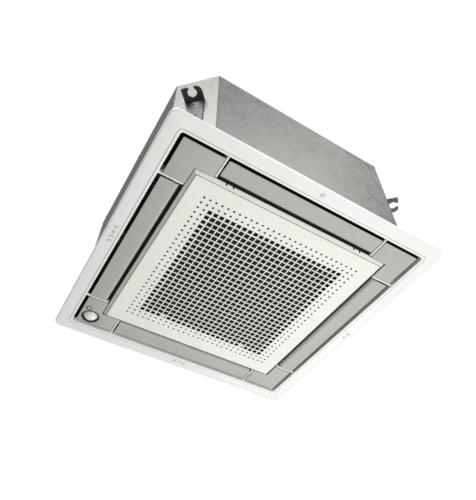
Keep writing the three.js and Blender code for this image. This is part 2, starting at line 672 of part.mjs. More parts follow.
/** A flap's motor at its right end, its shaft set off-centre in the round body. */
function flapMotor() {
  const start = RIB_SPAN[1] - GAP;
  const bodyY = -FLAP_PIVOT_OUT - 4;
  const bodyZ = FLAP_PIVOT_Z + 6.9;
  const shaft = barX(PIN_R, start, 190, -FLAP_PIVOT_OUT, FLAP_PIVOT_Z, 10);
  const body = barX(11.5, 187.5, 203, bodyY, bodyZ, 16);
  const plug = box([194, 203.5], [bodyY - 6, bodyY + 6], [bodyZ + 8, bodyZ + 15]);
  return join(shaft, body, plug);
}

/** An L-shaped cover for the front right corner, with two legs up to the deck. */
function cornerCover(...holes) {
  const start = RIB_SPAN[1] + 1.5;
  const end = FLAP_OUTER;
  const rim = GRILLE_RIM_HALF + 1.8; // clear of the grille's rim as it swings
  const outline = flatPoints([
    [start, -end], [end, -end], [end, -start], [rim, -start], [rim, -rim], [start, -rim],
  ]);
  const face = FLAP_PIVOT_Z - FLAP_NOSE_R;
  const plate = prism(outline, face, face + FLAP_SKIN);
  const legs = [[212, -248], [254, -206]].map(([x, y]) => bar(3, face + 1, SHELF_Z - GAP, 12, x, y));
  const cover = join(plate, ...legs);
  return holes.length ? cut(cover, ...holes) : cover;
}

// both in the cover turned to the back left corner, so given where that cover is drawn
const SENSOR = { x: 244.7, y: -246, r: 20 };
const RECEIVER = { x: 257.6, y: -220, r: 5 };

function makePanel() {
  const panel = assembly();
  piece(panel, "panel_frame", panelFrame(), WHITE_PLASTIC);
  piece(panel, "panel_gasket", panelGasket(), GASKET_FOAM);
  const seal = ring(304, 9, 284, 3, PANEL_FACE + PANEL_SKIN + GAP, 0);
  piece(panel, "ceiling_seal", seal, GASKET_FOAM);
  const sensorHoles = [
    bar(SENSOR.r + 2 * GAP, -20, 10, 24, SENSOR.x, SENSOR.y),
    bar(RECEIVER.r + GAP, -20, 10, 12, RECEIVER.x, RECEIVER.y),
  ];
  SIDES.forEach((side, i) => {
    piece(panel, `flap_${side}`, flap(), GREY_PLASTIC, i);
    piece(panel, `flap_motor_${side}`, flapMotor(), WHITE_PLASTIC, i);
    const cover = side === "back" ? cornerCover(...sensorHoles) : cornerCover();
    piece(panel, `corner_cover_${side}`, cover, GREY_PLASTIC, i);
  });
  const fitted = SHELF_Z - GAP; // the backs of the sensor and of the receiver, against the corner deck
  const ringProfile = [[17.6, -7.4], [19, -7.8], [20, -7.4], [20, -3.4], [17.6, -3.4], [17.6, -7.4]];
  const sensorRing = turned(ringProfile, 24).translate(SENSOR.x, SENSOR.y, 0);
  piece(panel, "sensor_ring", sensorRing, BLACK_PLASTIC, 2);
  const cap = arc(0, 6.5, 19, -90, -27, 5).map(({ x, y }) => [x, y]);
  const dome = turned([...cap, [17.2, fitted], [0, fitted]], 24);
  piece(panel, "sensor_dome", dome.translate(SENSOR.x, SENSOR.y, 0), LENS_WHITE, 2);
  const lens = turned([[0, -8], [3, -7.4], [5, -6], [5, fitted], [0, fitted]], 12);
  piece(panel, "receiver_lens", lens.translate(RECEIVER.x, RECEIVER.y, 0), LENS_WHITE, 2);
}

// ---------------------------------------------------------------- suction grille
/** A square block with its lower edges bevelled. */
function bevelledBlock() {
  const [face, rim] = [GRILLE_FACE_HALF, GRILLE_RIM_HALF];
  const outline = flatPoints([
    [-face, GRILLE_FACE], [face, GRILLE_FACE], [rim, GRILLE_BEVEL_TOP],
    [rim, GRILLE_RIM_TOP], [-rim, GRILLE_RIM_TOP], [-rim, GRILLE_BEVEL_TOP],
  ]);
  const slab = alongX(outline, -rim - 1, rim + 1);
  return common(slab, slab.clone().rotateZ(Math.PI / 2));
}

/** Perforated plate with a bevelled rim, a ledge and clips for the filter, and hinge barrels. */
function suctionGrille() {
  const plateTop = GRILLE_FACE + GRILLE_PLATE;
  const square = (half, z0, z1) => box([-half, half], [-half, half], [z0, z1]);
  const shell = cut(
    bevelledBlock(),
    square(GRILLE_FACE_HALF + 0.8, plateTop, plateTop + 2),
    square(GRILLE_RIM_HALF - GRILLE_WALL, plateTop + 1.9, 5),
  );
  const middle = (HOLE_COUNT - 1) / 2;
  const opening = square(HOLE_HALF, GRILLE_FACE - 1, plateTop + 1);
  const holes = Array.from({ length: HOLE_COUNT ** 2 }, (_, i) => {
    const [column, row] = [i % HOLE_COUNT, Math.floor(i / HOLE_COUNT)];
    return opening.clone().translate((column - middle) * PITCH, (row - middle) * PITCH, 0);
  });
  const ledge = cut(
    ring(FILTER_HALF - 3, 3, FILTER_HALF - 6, 2, plateTop - 1, plateTop + 2.2),
    ...bothEnds((side) => box(span(side, LATCH_X - 5, LATCH_X + 5), [150, 200], [plateTop, 0])),
  );
  const clips = fourSides(
    box([-8, 8], [-FILTER_HALF - 3.2, -FILTER_HALF - 1.2], [plateTop - 1, GRILLE_RIM_TOP]),
    box([-8, 8], [-FILTER_HALF - 2, -FILTER_HALF + 2], [-2.3, GRILLE_RIM_TOP]),
  );
  const barrels = bothEnds((side) => {
    const x = span(side, HINGE_X - 5.7, HINGE_X + 5.7);
    const rib = box(x, [HINGE_Y, HINGE_Y + BARREL_R], [plateTop - 1, HINGE_Z]);
    return join(barX(BARREL_R, ...x, HINGE_Y, HINGE_Z), rib);
  });
  const notches = LUG_STARTS.flatMap((start) =>
    bothEnds((side) => {
      const x = span(side, start - 0.4, start + LUG_THICK + 0.4);
      const pocket = box(x, [-GRILLE_RIM_HALF + GRILLE_WALL, HINGE_Y + 4], [HINGE_Z - LUG_R - GAP, 0]);
      return join(pocket, box(x, [-GRILLE_RIM_HALF - 2, HINGE_Y], [HINGE_Z - LUG_NECK - GAP, 0]));
    }),
  );
  const bores = bothEnds((side) =>
    barX(HINGE_BORE_R, ...span(side, HINGE_X - 10, HINGE_X + 10), HINGE_Y, HINGE_Z, 12),
  );
  const plate = cut(shell, join(...holes));
  return cut(join(plate, ledge, ...clips, ...barrels), ...notches, ...bores);
}

/** A sliding latch at x = 0: a finger tab in a hole of the grille, a flat bar, a post and its hook. */
function latch() {
  const y = LATCH_HOLE_Y - 2.2;
  return join(
    box([-1.5, 1.5], [y - 1.5, y + 1.5], [GRILLE_FACE + 0.6, -8]),
    box([-4, 4], [y - 3, 198], [-8.2, -6.4]),
    box([-4, 4], [195, 198], [-7, 8]),
    box([-4, 4], [197, 204.5], [6, 8]),
  );
}

function makeGrille() {
  const grille = assembly();
  piece(grille, "suction_grille", suctionGrille(), GRILLE_PLASTIC);
  ["left", "right"].forEach((side, i) => {
    const x = i ? 1 : -1;
    piece(grille, `grille_latch_${side}`, latch().translate(x * LATCH_X, 0, 0), WHITE_PLASTIC);
    const pin = barX(HINGE_PIN_R, ...span(x, HINGE_X - 8.8, HINGE_X + 8.8), HINGE_Y, HINGE_Z, 12);
    piece(grille, `hinge_pin_${side}`, pin, BRACKET_STEEL);
  });
  const across = [-FILTER_HALF + 2, FILTER_HALF - 2];
  piece(grille, "filter_mesh", box(across, across, [FILTER_FOOT, FILTER_FOOT + 0.6]), BLACK_PLASTIC);
  piece(grille, "filter_frame", filterFrame(), BLACK_PLASTIC);
}

/** A flat square frame with five ribs each way. */
function filterFrame() {
  const foot = FILTER_FOOT + 0.6 + GAP;
  const edge = FILTER_HALF - 8;
  const ribs = [-120, -60, 0, 60, 120];
  const starts = [-edge, ...ribs.map((at) => at + 2.5)];
  const ends = [...ribs.map((at) => at - 2.5), edge];
  const spans = starts.map((start, i) => [start, ends[i]]);
  const cells = spans.flatMap((x) => spans.map((y) => box(x, y, [foot - 1, foot + 5])));
  return cut(prism(roundedSquare(FILTER_HALF, 4), foot, foot + 2.5), ...cells);
}

makeCasing();
makeFan();
makeCoil();
makeDrain();
makeElectrics();
makePanel();
makeGrille();

export default unit;
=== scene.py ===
"""Looks of a compact four-way ceiling cassette air conditioner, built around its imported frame.

Sizes are in millimetres in the frame's own axes: Z is up, the ceiling's underside is at zero, and the
panel's front side faces -Y. A mesh becomes metres when its piece is finished.
"""

import functools
import logging
import math
from dataclasses import dataclass
from enum import Enum
from typing import Callable, Iterable, Mapping, Optional, Sequence, Union

import bmesh
import bpy
from mathutils import Matrix, Vector


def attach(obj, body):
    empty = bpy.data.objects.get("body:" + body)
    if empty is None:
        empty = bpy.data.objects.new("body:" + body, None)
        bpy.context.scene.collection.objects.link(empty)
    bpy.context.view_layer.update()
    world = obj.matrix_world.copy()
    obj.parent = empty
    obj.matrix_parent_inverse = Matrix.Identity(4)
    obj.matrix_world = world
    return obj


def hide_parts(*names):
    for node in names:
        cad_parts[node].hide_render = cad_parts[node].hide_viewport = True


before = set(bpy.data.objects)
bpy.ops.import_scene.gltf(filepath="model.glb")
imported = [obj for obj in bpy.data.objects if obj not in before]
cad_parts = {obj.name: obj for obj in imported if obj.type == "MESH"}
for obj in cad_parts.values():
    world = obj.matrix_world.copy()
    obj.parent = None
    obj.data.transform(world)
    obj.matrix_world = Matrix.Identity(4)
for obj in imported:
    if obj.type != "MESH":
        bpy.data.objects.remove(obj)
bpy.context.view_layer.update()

MM = 0.001
MERGE_WITHIN = 1e-4
SHARP_ANGLE = 0.6
CORNER_FACETS = 6
ROUNDING_FACETS = 4
log = logging.getLogger("cassette")

Point = tuple[float, float]
Place = tuple[float, float, float]
Colour = tuple[float, float, float, float]
EdgeTest = Callable[[bmesh.types.BMEdge], bool]

WHITE: Colour = (1.0, 1.0, 1.0, 1.0)


def paint(red: float, green: float, blue: float) -> Colour:
    """Turns a colour as it looks on a screen, 0 to 255, into the linear colour that a shader takes.

    Args:
        red: Amount of red.
        green: Amount of green.
        blue: Amount of blue.

    Returns:
        The linear colour with full alpha.
    """
    levels = [level / 255 for level in (red, green, blue)]
    parts = [((v + 0.055) / 1.055) ** 2.4 if v > 0.04 else v / 12.92 for v in levels]
    return (parts[0], parts[1], parts[2], 1.0)


def scaled(colour: Colour, factor: float) -> Colour:
    """Returns a colour made lighter or darker by a factor."""
    return (colour[0] * factor, colour[1] * factor, colour[2] * factor, 1.0)


def shades(colour: Colour, spread: float) -> tuple[Colour, Colour]:
    """Returns a darker and a lighter shade, each a share away from a colour."""
    return (scaled(colour, 1 - spread), scaled(colour, 1 + spread))


class Side(Enum):
    """The four sides, each a quarter turn after the one before."""

    FRONT = 0
    RIGHT = 1
    BACK = 2
    LEFT = 3

    @property
    def label(self) -> str:
        """The side's name in node and piece names."""
        return self.name.lower()

    @property
    def angle(self) -> float:
        """The turn about Z that brings a front shape to this side."""
        return self.value * math.pi / 2


# ---------------------------------------------------------------- shader expressions
class Value:
    """One output of a node, which takes part in Python expressions."""

    def __init__(self, graph: "Graph", socket: bpy.types.NodeSocket) -> None:
        """Wraps a socket of a graph."""
        self.graph = graph
        self.socket = socket

    def other(self, name: str) -> "Value":
        """Returns another output of the same node."""
        return Value(self.graph, self.socket.node.outputs[name])

    def _maths(self, operation: str, first: "Term", second: "Term") -> "Value":
        """Adds one Math node and returns its result."""
        return self.graph.node("ShaderNodeMath", {"operation": operation}, {0: first, 1: second})

    def __add__(self, other: "Term") -> "Value":
        """Returns self + other."""
        return self._maths("ADD", self, other)

    def __radd__(self, other: "Term") -> "Value":
        """Returns other + self."""
        return self._maths("ADD", other, self)

    def __sub__(self, other: "Term") -> "Value":
        """Returns self - other."""
        return self._maths("SUBTRACT", self, other)

    def __rsub__(self, other: "Term") -> "Value":
        """Returns other - self."""
        return self._maths("SUBTRACT", other, self)

    def __mul__(self, other: "Term") -> "Value":
        """Returns self * other."""
        return self._maths("MULTIPLY", self, other)

    def __rmul__(self, other: "Term") -> "Value":
        """Returns other * self."""
        return self._maths("MULTIPLY", other, self)

    def __mod__(self, other: "Term") -> "Value":
        """Returns the remainder of self, always positive."""
        return self._maths("FLOORED_MODULO", self, other)

    def above(self, limit: float) -> "Value":
        """Returns one where the value is greater than a limit, else zero."""
        return self._maths("GREATER_THAN", self, limit)

    def larger(self, other: "Term") -> "Value":
        """Returns the larger of two values."""
        return self._maths("MAXIMUM", self, other)


Term = Union[Value, float]


class Graph:
    """The node tree of one material or of the world."""

    def __init__(self, tree: bpy.types.NodeTree) -> None:
        """Starts an empty tree."""
        self.tree = tree
        tree.nodes.clear()

    def node(
        self,
        kind: str,
        settings: Optional[Mapping[str, object]] = None,
        inputs: Optional[Mapping[Union[str, int], object]] = None,
        output: Union[str, int] = 0,
    ) -> Value:
        """Adds a node, sets it and joins its sockets.

        Args:
            kind: The node's type.
            settings: The node's own properties.
            inputs: What each socket gets, by name or number: another value, or a constant.
            output: The socket that the returned value stands for.

        Returns:
            The value of the chosen output, or of the node itself when it has none.
        """
        made = self.tree.nodes.new(kind)
        for name, setting in (settings or {}).items():
            setattr(made, name, setting)
        for key, term in (inputs or {}).items():
            socket = made.inputs[key]
            if isinstance(term, Value):
                self.tree.links.new(term.socket, socket)
            else:
                socket.default_value = term
        return Value(self, made.outputs[output] if made.outputs else None)

    def place(self, stretch: Place = (1.0, 1.0, 1.0)) -> Value:
        """Returns the position on the piece in metres, stretched by a factor along each axis."""
        where = self.node("ShaderNodeTexCoord", output="Object")
        return self.node("ShaderNodeMapping", inputs={"Vector": where, "Scale": stretch})

    def noise(self, size: float, detail: float = 2.0, at: Optional[Value] = None) -> Value:
        """Returns noise from 0 to 1 with features of about a size in millimetres."""
        inputs = {"Vector": at or self.place(), "Scale": 1 / (size * MM), "Detail": detail}
        return self.node("ShaderNodeTexNoise", inputs=inputs)

    def cells(self, size: float, output: str, at: Optional[Value] = None) -> Value:
        """Returns a Voronoi output, Distance or Color, for cells of about a size in millimetres."""
        inputs = {"Vector": at or self.place(), "Scale": 1 / (size * MM)}
        return self.node("ShaderNodeTexVoronoi", inputs=inputs, output=output)

    def mix(self, factor: Term, first: object, second: object) -> Value:
        """Returns a mix of two colours."""
        return self.node("ShaderNodeMix", {"data_type": "RGBA"}, {0: factor, 6: first, 7: second}, output=2)

    def bump(self, height: Value, depth: float) -> Value:
        """Returns a normal bent by a height, whose full range is a depth in millimetres."""
        inputs = {"Height": height, "Distance": depth * MM, "Strength": 1.0}
        return self.node("ShaderNodeBump", inputs=inputs)

    def surface(self, **sockets: object) -> None:
        """Ends the tree in one Principled surface.

        Args:
            sockets: What its sockets get; an underscore in a name stands for a space.
        """
        inputs = {name.replace("_", " "): term for name, term in sockets.items()}
        shader = self.node("ShaderNodeBsdfPrincipled", inputs=inputs)
        self.node("ShaderNodeOutputMaterial", inputs={"Surface": shader})


# ---------------------------------------------------------------- finishes
@dataclass(frozen=True)
class Finish:
    """What every finish has: a name for its material and the name of a slot."""

    label: str
    slot: str

    def dress(self, graph: Graph) -> None:
        """Builds the finish's nodes."""
        raise NotImplementedError


@dataclass(frozen=True)
class MouldedPlastic(Finish):
    """Injection-moulded plastic with a fine spark-eroded grain and a slight change of tone."""

    colour: Colour
    roughness: float = 0.45
    grain: float = 0.5
    depth: float = 0.012
    tone: float = 0.03
    coat: float = 0.0
    drift_size: float = 70.0
    haze_size: float = 25.0

    def dress(self, graph: Graph) -> None:
        """Builds the grain, the tone and the sheen."""
        drift = graph.noise(self.drift_size, 3.0)
        speck = graph.noise(self.grain, 1.0)
        graph.surface(
            Base_Color=graph.mix(drift, *shades(self.colour, self.tone)),
            Roughness=speck * 0.1 + graph.noise(self.haze_size) * 0.06 + (self.roughness - 0.08),
            Normal=graph.bump(speck, self.depth),
            Coat_Weight=self.coat,
        )


@dataclass(frozen=True)
class GalvanisedSteel(Finish):
    """Zinc-coated sheet with its spangle and a cloudy bloom, duller where it is seen edge on."""

    colour: Colour
    roughness: float = 0.42
    spangle: float = 7.0
    metallic: float = 0.85
    contrast: float = 0.2
    edge_tint: float = 0.149
    cloud_size: float = 38.0
    depth: float = 0.012

    def dress(self, graph: Graph) -> None:
        """Builds the spangle and the cloud."""
        crystal = graph.node("ShaderNodeSeparateColor", inputs={0: graph.cells(self.spangle, "Color")})
        cloud = graph.noise(self.cloud_size, 5.0)
        graph.surface(
            Base_Color=graph.mix(crystal * 0.45 + cloud * 0.55, *shades(self.colour, self.contrast)),
            Metallic=self.metallic,
            Roughness=crystal * 0.1 + cloud * 0.12 + (self.roughness - 0.1),
            Specular_Tint=scaled(WHITE, self.edge_tint),
            Normal=graph.bump(crystal * 0.3 + cloud, self.depth),
        )


@dataclass(frozen=True)
class BareMetal(Finish):
    """Bare or plated metal with drawing marks along one direction and a little tarnish."""

    colour: Colour
    tarnish: Colour
    roughness: float = 0.3
    metallic: float = 0.95
    along: Place = (0.05, 1.0, 1.0)
    mark_size: float = 1.2
    patch_size: float = 14.0

    def dress(self, graph: Graph) -> None:
        """Builds the marks and the tarnish."""
        marks = graph.noise(self.mark_size, 2.0, graph.place(self.along))
        patch = graph.noise(self.patch_size, 4.0)
        graph.surface(
            Base_Color=graph.mix(patch * patch, self.colour, self.tarnish),
            Metallic=self.metallic,
            Roughness=marks * 0.16 + patch * 0.12 + (self.roughness - 0.1),
            Normal=graph.bump(marks, 0.02),
        )


@dataclass(frozen=True)
class FinPack(Finish):
    """The edges of close upright aluminium fins, with the gaps between them painted dark as the shade in
    them.
    """

    colour: Colour
    gap: Colour
    pitch: float = 1.6
    gap_share: float = 0.42

    def dress(self, graph: Graph) -> None:
        """Builds upright stripes on every side of the coil."""
        where = graph.node("ShaderNodeSeparateXYZ", inputs={0: graph.place()})
        stripe = ((where + where.other("Y")) * (1 / (self.pitch * MM))) % 1.0
        # Between the fins the gap colour is painted shade.
        fin = stripe.above(self.gap_share)
        metal = graph.mix(graph.noise(20.0), self.colour, scaled(self.colour, 0.8))
        graph.surface(
            Base_Color=graph.mix(fin, self.gap, metal),
            Metallic=fin * 0.8,
            Roughness=graph.noise(4.0) * 0.15 + 0.3,
            Normal=graph.bump(fin, 0.5),
        )


@dataclass(frozen=True)
class BeadFoam(Finish):
    """Expanded bead foam: beads pressed together, each a little different, darker towards their borders as
    painted shade in the crevices.
    """

    colour: Colour
    bead: float = 3.2
    depth: float = 0.25

    def dress(self, graph: Graph) -> None:
        """Builds the beads."""
        bead = graph.cells(self.bead, "Distance")
        shade = graph.node("ShaderNodeSeparateColor", inputs={0: graph.cells(self.bead, "Color")})
        tone = graph.mix(shade, scaled(self.colour, 0.9), scaled(self.colour, 1.08))
        # Darker towards each bead's border: painted shade in the crevices between beads.
        graph.surface(
            Base_Color=graph.mix(bead * bead, tone, scaled(self.colour, 0.7)),
            Roughness=graph.noise(2.0) * 0.08 + 0.84,
            Normal=graph.bump(1 - bead, self.depth),
        )


@dataclass(frozen=True)
class Rubber(Finish):
    """Matt rubber or a closed-cell seal with fine pores."""

    colour: Colour
    pore: float = 0.9

    def dress(self, graph: Graph) -> None:
        """Builds the pores and a slight bloom."""
        pores = graph.noise(self.pore, 3.0)
        bloom = graph.noise(30.0, 4.0)
        graph.surface(
            Base_Color=graph.mix(bloom, self.colour, scaled(self.colour, 1.6)),
            Roughness=pores * 0.15 + 0.72,
            Normal=graph.bump(pores, 0.08),
        )


@dataclass(frozen=True)
class CircuitBoard(Finish):
    """Green laminate with paler tracks and tinned pads."""

    mask: Colour
    track: Colour
    pad: Colour
    web_size: float = 7.0
    pad_pitch: float = 4.2

    def dress(self, graph: Graph) -> None:
        """Builds tracks from the borders of large cells and pads from the middles of small ones."""
        at = graph.place()
        web = graph.node(
            "ShaderNodeTexVoronoi",
            {"feature": "DISTANCE_TO_EDGE"},
            {"Vector": at, "Scale": 1 / (self.web_size * MM)},
        )
        pads = 1 - graph.cells(self.pad_pitch, "Distance", at).above(0.16)
        tracks = 1 - web.above(0.08)
        graph.surface(
            Base_Color=graph.mix(pads, graph.mix(tracks, self.mask, self.track), self.pad),
            Metallic=pads * 0.7,
            Roughness=0.5 - pads * 0.15,
            Normal=graph.bump(pads + tracks * 0.4, 0.06),
        )


@dataclass(frozen=True)
class FilterNet(Finish):
    """A fine net: threads both ways, with openings painted near black as the shade seen through them."""

    thread: Colour
    opening: Colour
    pitch: float = 1.8
    opening_share: float = 0.66

    def dress(self, graph: Graph) -> None:
        """Builds the threads."""
        where = graph.node("ShaderNodeSeparateXYZ", inputs={0: graph.place()})
        count = 1 / (self.pitch * MM)
        warp, weft = (((at * count) % 1.0).above(self.opening_share) for at in (where, where.other("Y")))
        thread = warp.larger(weft)
        # The openings' near-black colour is painted shade from the dark inside of the unit.
        graph.surface(
            Base_Color=graph.mix(thread, self.opening, self.thread),
            Roughness=graph.noise(3.0) * 0.1 + 0.6,
            Normal=graph.bump(thread, 0.3),
        )


WHITE_PANEL = MouldedPlastic("white_panel_plastic", "white_plastic", paint(245, 245, 243), 0.38, coat=0.15)
GREY_FLAP = MouldedPlastic("grey_flap_plastic", "grey_plastic", paint(182, 183, 176), 0.5, grain=0.7)
IVORY_GRILLE = MouldedPlastic("ivory_grille_plastic", "grille_plastic", paint(241, 242, 234), 0.45)
BLACK_MOULDING = MouldedPlastic("black_moulded_plastic", "black_plastic", paint(22, 22, 23), 0.5)
FAN_PLASTIC = MouldedPlastic("fan_plastic", "fan_plastic", paint(52, 53, 55), 0.5, tone=0.08)
# Near black that is painted shade: the inlet wall, the shelf and the corner decks deep behind the gaps round
# the covers.
INNER_SHADE_BLACK = MouldedPlastic(
    "inner_frame_painted_shade", "black_plastic", paint(13, 13, 13), 0.7, grain=1.0, depth=0.05
)
# Dark grey that is painted shade: the rings round the outlet marks, the strip behind the grille's dimples and
# the line in the groove by the grille's bevel.
SHADOW_GREY = MouldedPlastic("painted_shade_grey", "grey_plastic", paint(66, 66, 65), 0.55)
# Near black that is painted shade: the sheets deep in the outlets and the strip in the rim's groove.
WELL_SHADE_BLACK = MouldedPlastic("black_duct_shade_lining", "black_foam", paint(9, 9, 9), 0.85, grain=1.2, depth=0.1)
SOCKET_GREY = MouldedPlastic("grey_socket_plastic", "grey_plastic", paint(150, 152, 150), 0.5)
SENSOR_BEZEL = MouldedPlastic("sensor_bezel_plastic", "black_plastic", paint(34, 34, 34), 0.4)
LENS = MouldedPlastic("sensor_lens", "lens", paint(240, 241, 240), 0.12, depth=0.002, coat=0.6)
SMOKED_LENS = MouldedPlastic("receiver_window", "lens", paint(206, 207, 203), 0.15, depth=0.002, coat=0.6)
CASING_SHEET = GalvanisedSteel("galvanised_casing", "galvanised", paint(138, 138, 136), 0.4)
BRACKET_PLATE = GalvanisedSteel("galvanised_bracket", "bracket_steel", paint(104, 105, 104), 0.36, 5.0)
MOTOR_SHELL = GalvanisedSteel("motor_shell", "motor_steel", paint(84, 86, 88), 0.4, 4.0)
SCREW_STEEL = BareMetal("zinc_screw", "bracket_steel", paint(150, 150, 146), paint(110, 108, 100))
COPPER = BareMetal("copper_tube", "copper", paint(196, 126, 84), paint(120, 66, 40))
BRASS = BareMetal("brass_nut", "brass", paint(204, 172, 104), paint(140, 108, 54))
FINS = FinPack("coil_fins", "fins", paint(190, 193, 196), paint(40, 41, 42))
WHITE_FOAM = BeadFoam("white_bead_foam", "foam", paint(236, 236, 232))
BLACK_FOAM = BeadFoam("black_bead_foam", "black_foam", paint(26, 26, 26))
SEAL_FOAM = Rubber("seal_foam", "gasket_foam", paint(48, 48, 48), 1.4)
RUBBER = Rubber("black_rubber", "rubber", paint(28, 28, 28))
BOARD = CircuitBoard("circuit_laminate", "board", paint(38, 92, 58), paint(60, 124, 78), paint(196, 196, 190))
NET = FilterNet("filter_net", "black_plastic", paint(24, 24, 25), paint(4, 4, 4))


@functools.lru_cache(maxsize=None)
def material_of(finish: Finish) -> bpy.types.Material:
    """Returns the one material of a finish.

    Args:
        finish: The finish.

    Returns:
        Its material, made at the first call.
    """
    material = bpy.data.materials.new(finish.label)
    material.use_nodes = True
    finish.dress(Graph(material.node_tree))
    return material


# ---------------------------------------------------------------- shapes
@dataclass(frozen=True)
class Station:
    """One line of a section that runs round a square: where it lies and how far it is rounded."""

    half: float
    corner: float
    height: float
    soften: float = 0.0

    def carried(self, point: Vector, before: "Station") -> Vector:
        """Moves a point of another station's line to the same place on this one.

        Args:
            point: The point.
            before: The station that it is on.

        Returns:
            Its new place.
        """
        middle = before.half - before.corner
        flat = []
        for value in (point.x, point.y):
            share = (abs(value) - middle) / before.corner
            flat.append(math.copysign(self.half - self.corner + share * self.corner, value))
        return Vector((*flat, self.height))

    def holds(self, point: Vector) -> bool:
        """Tells whether a point lies on this station's line."""
        over = [abs(value) - self.half + self.corner for value in (point.x, point.y)]
        out = math.hypot(*over) if min(over) > 0 else max(over)
        return abs(out - self.corner) < 0.05 and abs(point.z - self.height) < 0.01


def ends(test: Callable[[Vector], bool]) -> EdgeTest:
    """Returns a test for edges whose two ends both pass a test on their place."""
    return lambda edge: all(test(vert.co) for vert in edge.verts)


def at_corner(corner: Vector) -> EdgeTest:
    """Returns a test for the upright edge at a corner of an outline."""
    return ends(lambda at: (at.xy - corner).length < 0.01)


def along(axis: int) -> EdgeTest:
    """Returns a test for edges that reach over a millimetre along X, Y or Z, axis 0, 1 or 2."""
    return lambda edge: abs(edge.verts[0].co[axis] - edge.verts[1].co[axis]) > 1


class Form:
    """A closed shape under construction, in millimetres."""

    def __init__(self, mesh: Optional[bmesh.types.BMesh] = None) -> None:
        """Starts empty, or with a mesh."""
        self.mesh = mesh or bmesh.new()

    def add(self, *parts: "Form") -> "Form":
        """Takes in other forms and returns itself."""
        for part in parts:
            carrier = bpy.data.meshes.new("carrier")
            part.mesh.to_mesh(carrier)
            self.mesh.from_mesh(carrier)
            bpy.data.meshes.remove(carrier)
        return self

    def changed(self, matrix: Matrix) -> "Form":
        """Returns a copy moved, turned or mirrored by a matrix."""
        copy = Form(self.mesh.copy())
        bmesh.ops.transform(copy.mesh, matrix=matrix, verts=copy.mesh.verts)
        if matrix.determinant() < 0:
            bmesh.ops.reverse_faces(copy.mesh, faces=copy.mesh.faces)
        return copy

    def moved(self, x: float = 0.0, y: float = 0.0, z: float = 0.0) -> "Form":
        """Returns a copy moved by a distance."""
        return self.changed(Matrix.Translation((x, y, z)))

    def turned(self, angle: float, axis: str = "Z") -> "Form":
        """Returns a copy turned about an axis through the origin."""
        return self.changed(Matrix.Rotation(angle, 4, axis))

    def on(self, side: Side) -> "Form":
        """Returns a front shape's copy on another side."""
        return self.turned(side.angle)

    def four_sides(self) -> "Form":
        """Returns one form with a copy on each side."""
        return Form().add(*(self.on(side) for side in Side))

    def both_ends(self) -> "Form":
        """Returns one form with the shape and its mirror image in X."""
        return Form().add(self, self.changed(Matrix.Scale(-1, 4, (1, 0, 0))))

    def soften(self, width: float, segments: int, chosen: EdgeTest) -> "Form":
        """Rounds the edges that a test picks out.

        Args:
            width: The rounding's width.
            segments: Its number of facets.
            chosen: The test.

        Returns:
            The form itself.
        """
        edges = [edge for edge in self.mesh.edges if chosen(edge)]
        bmesh.ops.bevel(
            self.mesh, geom=edges, offset=width, offset_type="OFFSET", affect="EDGES", segments=segments,
            profile=0.5, material=-1, clamp_overlap=True,
        )
        return self

    def soften_sharp(self, width: float, segments: int = 2) -> "Form":
        """Rounds every edge sharper than about 35 degrees and returns the form itself."""
        return self.soften(width, segments, lambda edge: edge.calc_face_angle(0.0) > SHARP_ANGLE)

    def combined(self, other: "Form", operation: str) -> "Form":
        """Combines the form with another closed one.

        Args:
            other: The other form.
            operation: DIFFERENCE takes the other's space out; INTERSECT keeps only what both hold.

        Returns:
            The result.
        """
        made = []
        for shape in (self, other):
            mesh = bpy.data.meshes.new("shape")
            shape.mesh.to_mesh(mesh)
            made.append(bpy.data.objects.new("shape", mesh))
            bpy.context.scene.collection.objects.link(made[-1])
        modifier = made[0].modifiers.new("combine", "BOOLEAN")
        modifier.operation = operation
        modifier.solver = "EXACT"
        modifier.use_self = True
        modifier.object = made[1]
        seen = made[0].evaluated_get(bpy.context.evaluated_depsgraph_get())
        left = bmesh.new()
        left.from_mesh(seen.to_mesh())
        seen.to_mesh_clear()
        for thing in made:
            mesh = thing.data
            bpy.data.objects.remove(thing)
            bpy.data.meshes.remove(mesh)
        return Form(left)

    def carved(self, *cutters: "Form") -> "Form":
        """Returns what is left when the space of other closed forms is taken out."""
        return self.combined(Form().add(*cutters), "DIFFERENCE")

    def within(self, other: "Form") -> "Form":
        """Returns the part of the form that lies inside another closed form."""
        return self.combined(other, "INTERSECT")


def outward(form: Form) -> Form:
    """Merges a closed form's doubles, points its faces outwards and returns it."""
    bmesh.ops.remove_doubles(form.mesh, verts=form.mesh.verts, dist=MERGE_WITHIN)
    bmesh.ops.recalc_face_normals(form.mesh, faces=form.mesh.faces)
    return form


def block(low: Place, high: Place, soften: float = 0.0) -> Form:
    """Makes a block.

    Args:
        low: Its lowest corner.
        high: Its highest corner.
        soften: How far its edges are rounded.

    Returns:
        The block.
    """
    form = Form()
    made = bmesh.ops.create_cube(form.mesh, size=1.0)["verts"]
    low_corner, high_corner = Vector(low), Vector(high)
    bmesh.ops.scale(form.mesh, vec=high_corner - low_corner, verts=made)
    bmesh.ops.translate(form.mesh, vec=(low_corner + high_corner) / 2, verts=made)
    return form.soften(soften, 2, lambda edge: True) if soften else form


def plate(outline: Sequence[Point], low: float, high: float) -> Form:
    """Raises an outline in X and Y from one height to another.

    Args:
        outline: Its corners in order.
        low: The lower face's height.
        high: The upper face's height.

    Returns:
        The plate.
    """
    form = Form()
    base = form.mesh.faces.new([form.mesh.verts.new((x, y, low)) for x, y in outline])
    raised = bmesh.ops.extrude_face_region(form.mesh, geom=[base])["geom"]
    tops = [part for part in raised if isinstance(part, bmesh.types.BMVert)]
    bmesh.ops.translate(form.mesh, vec=(0, 0, high - low), verts=tops)
    return outward(form)


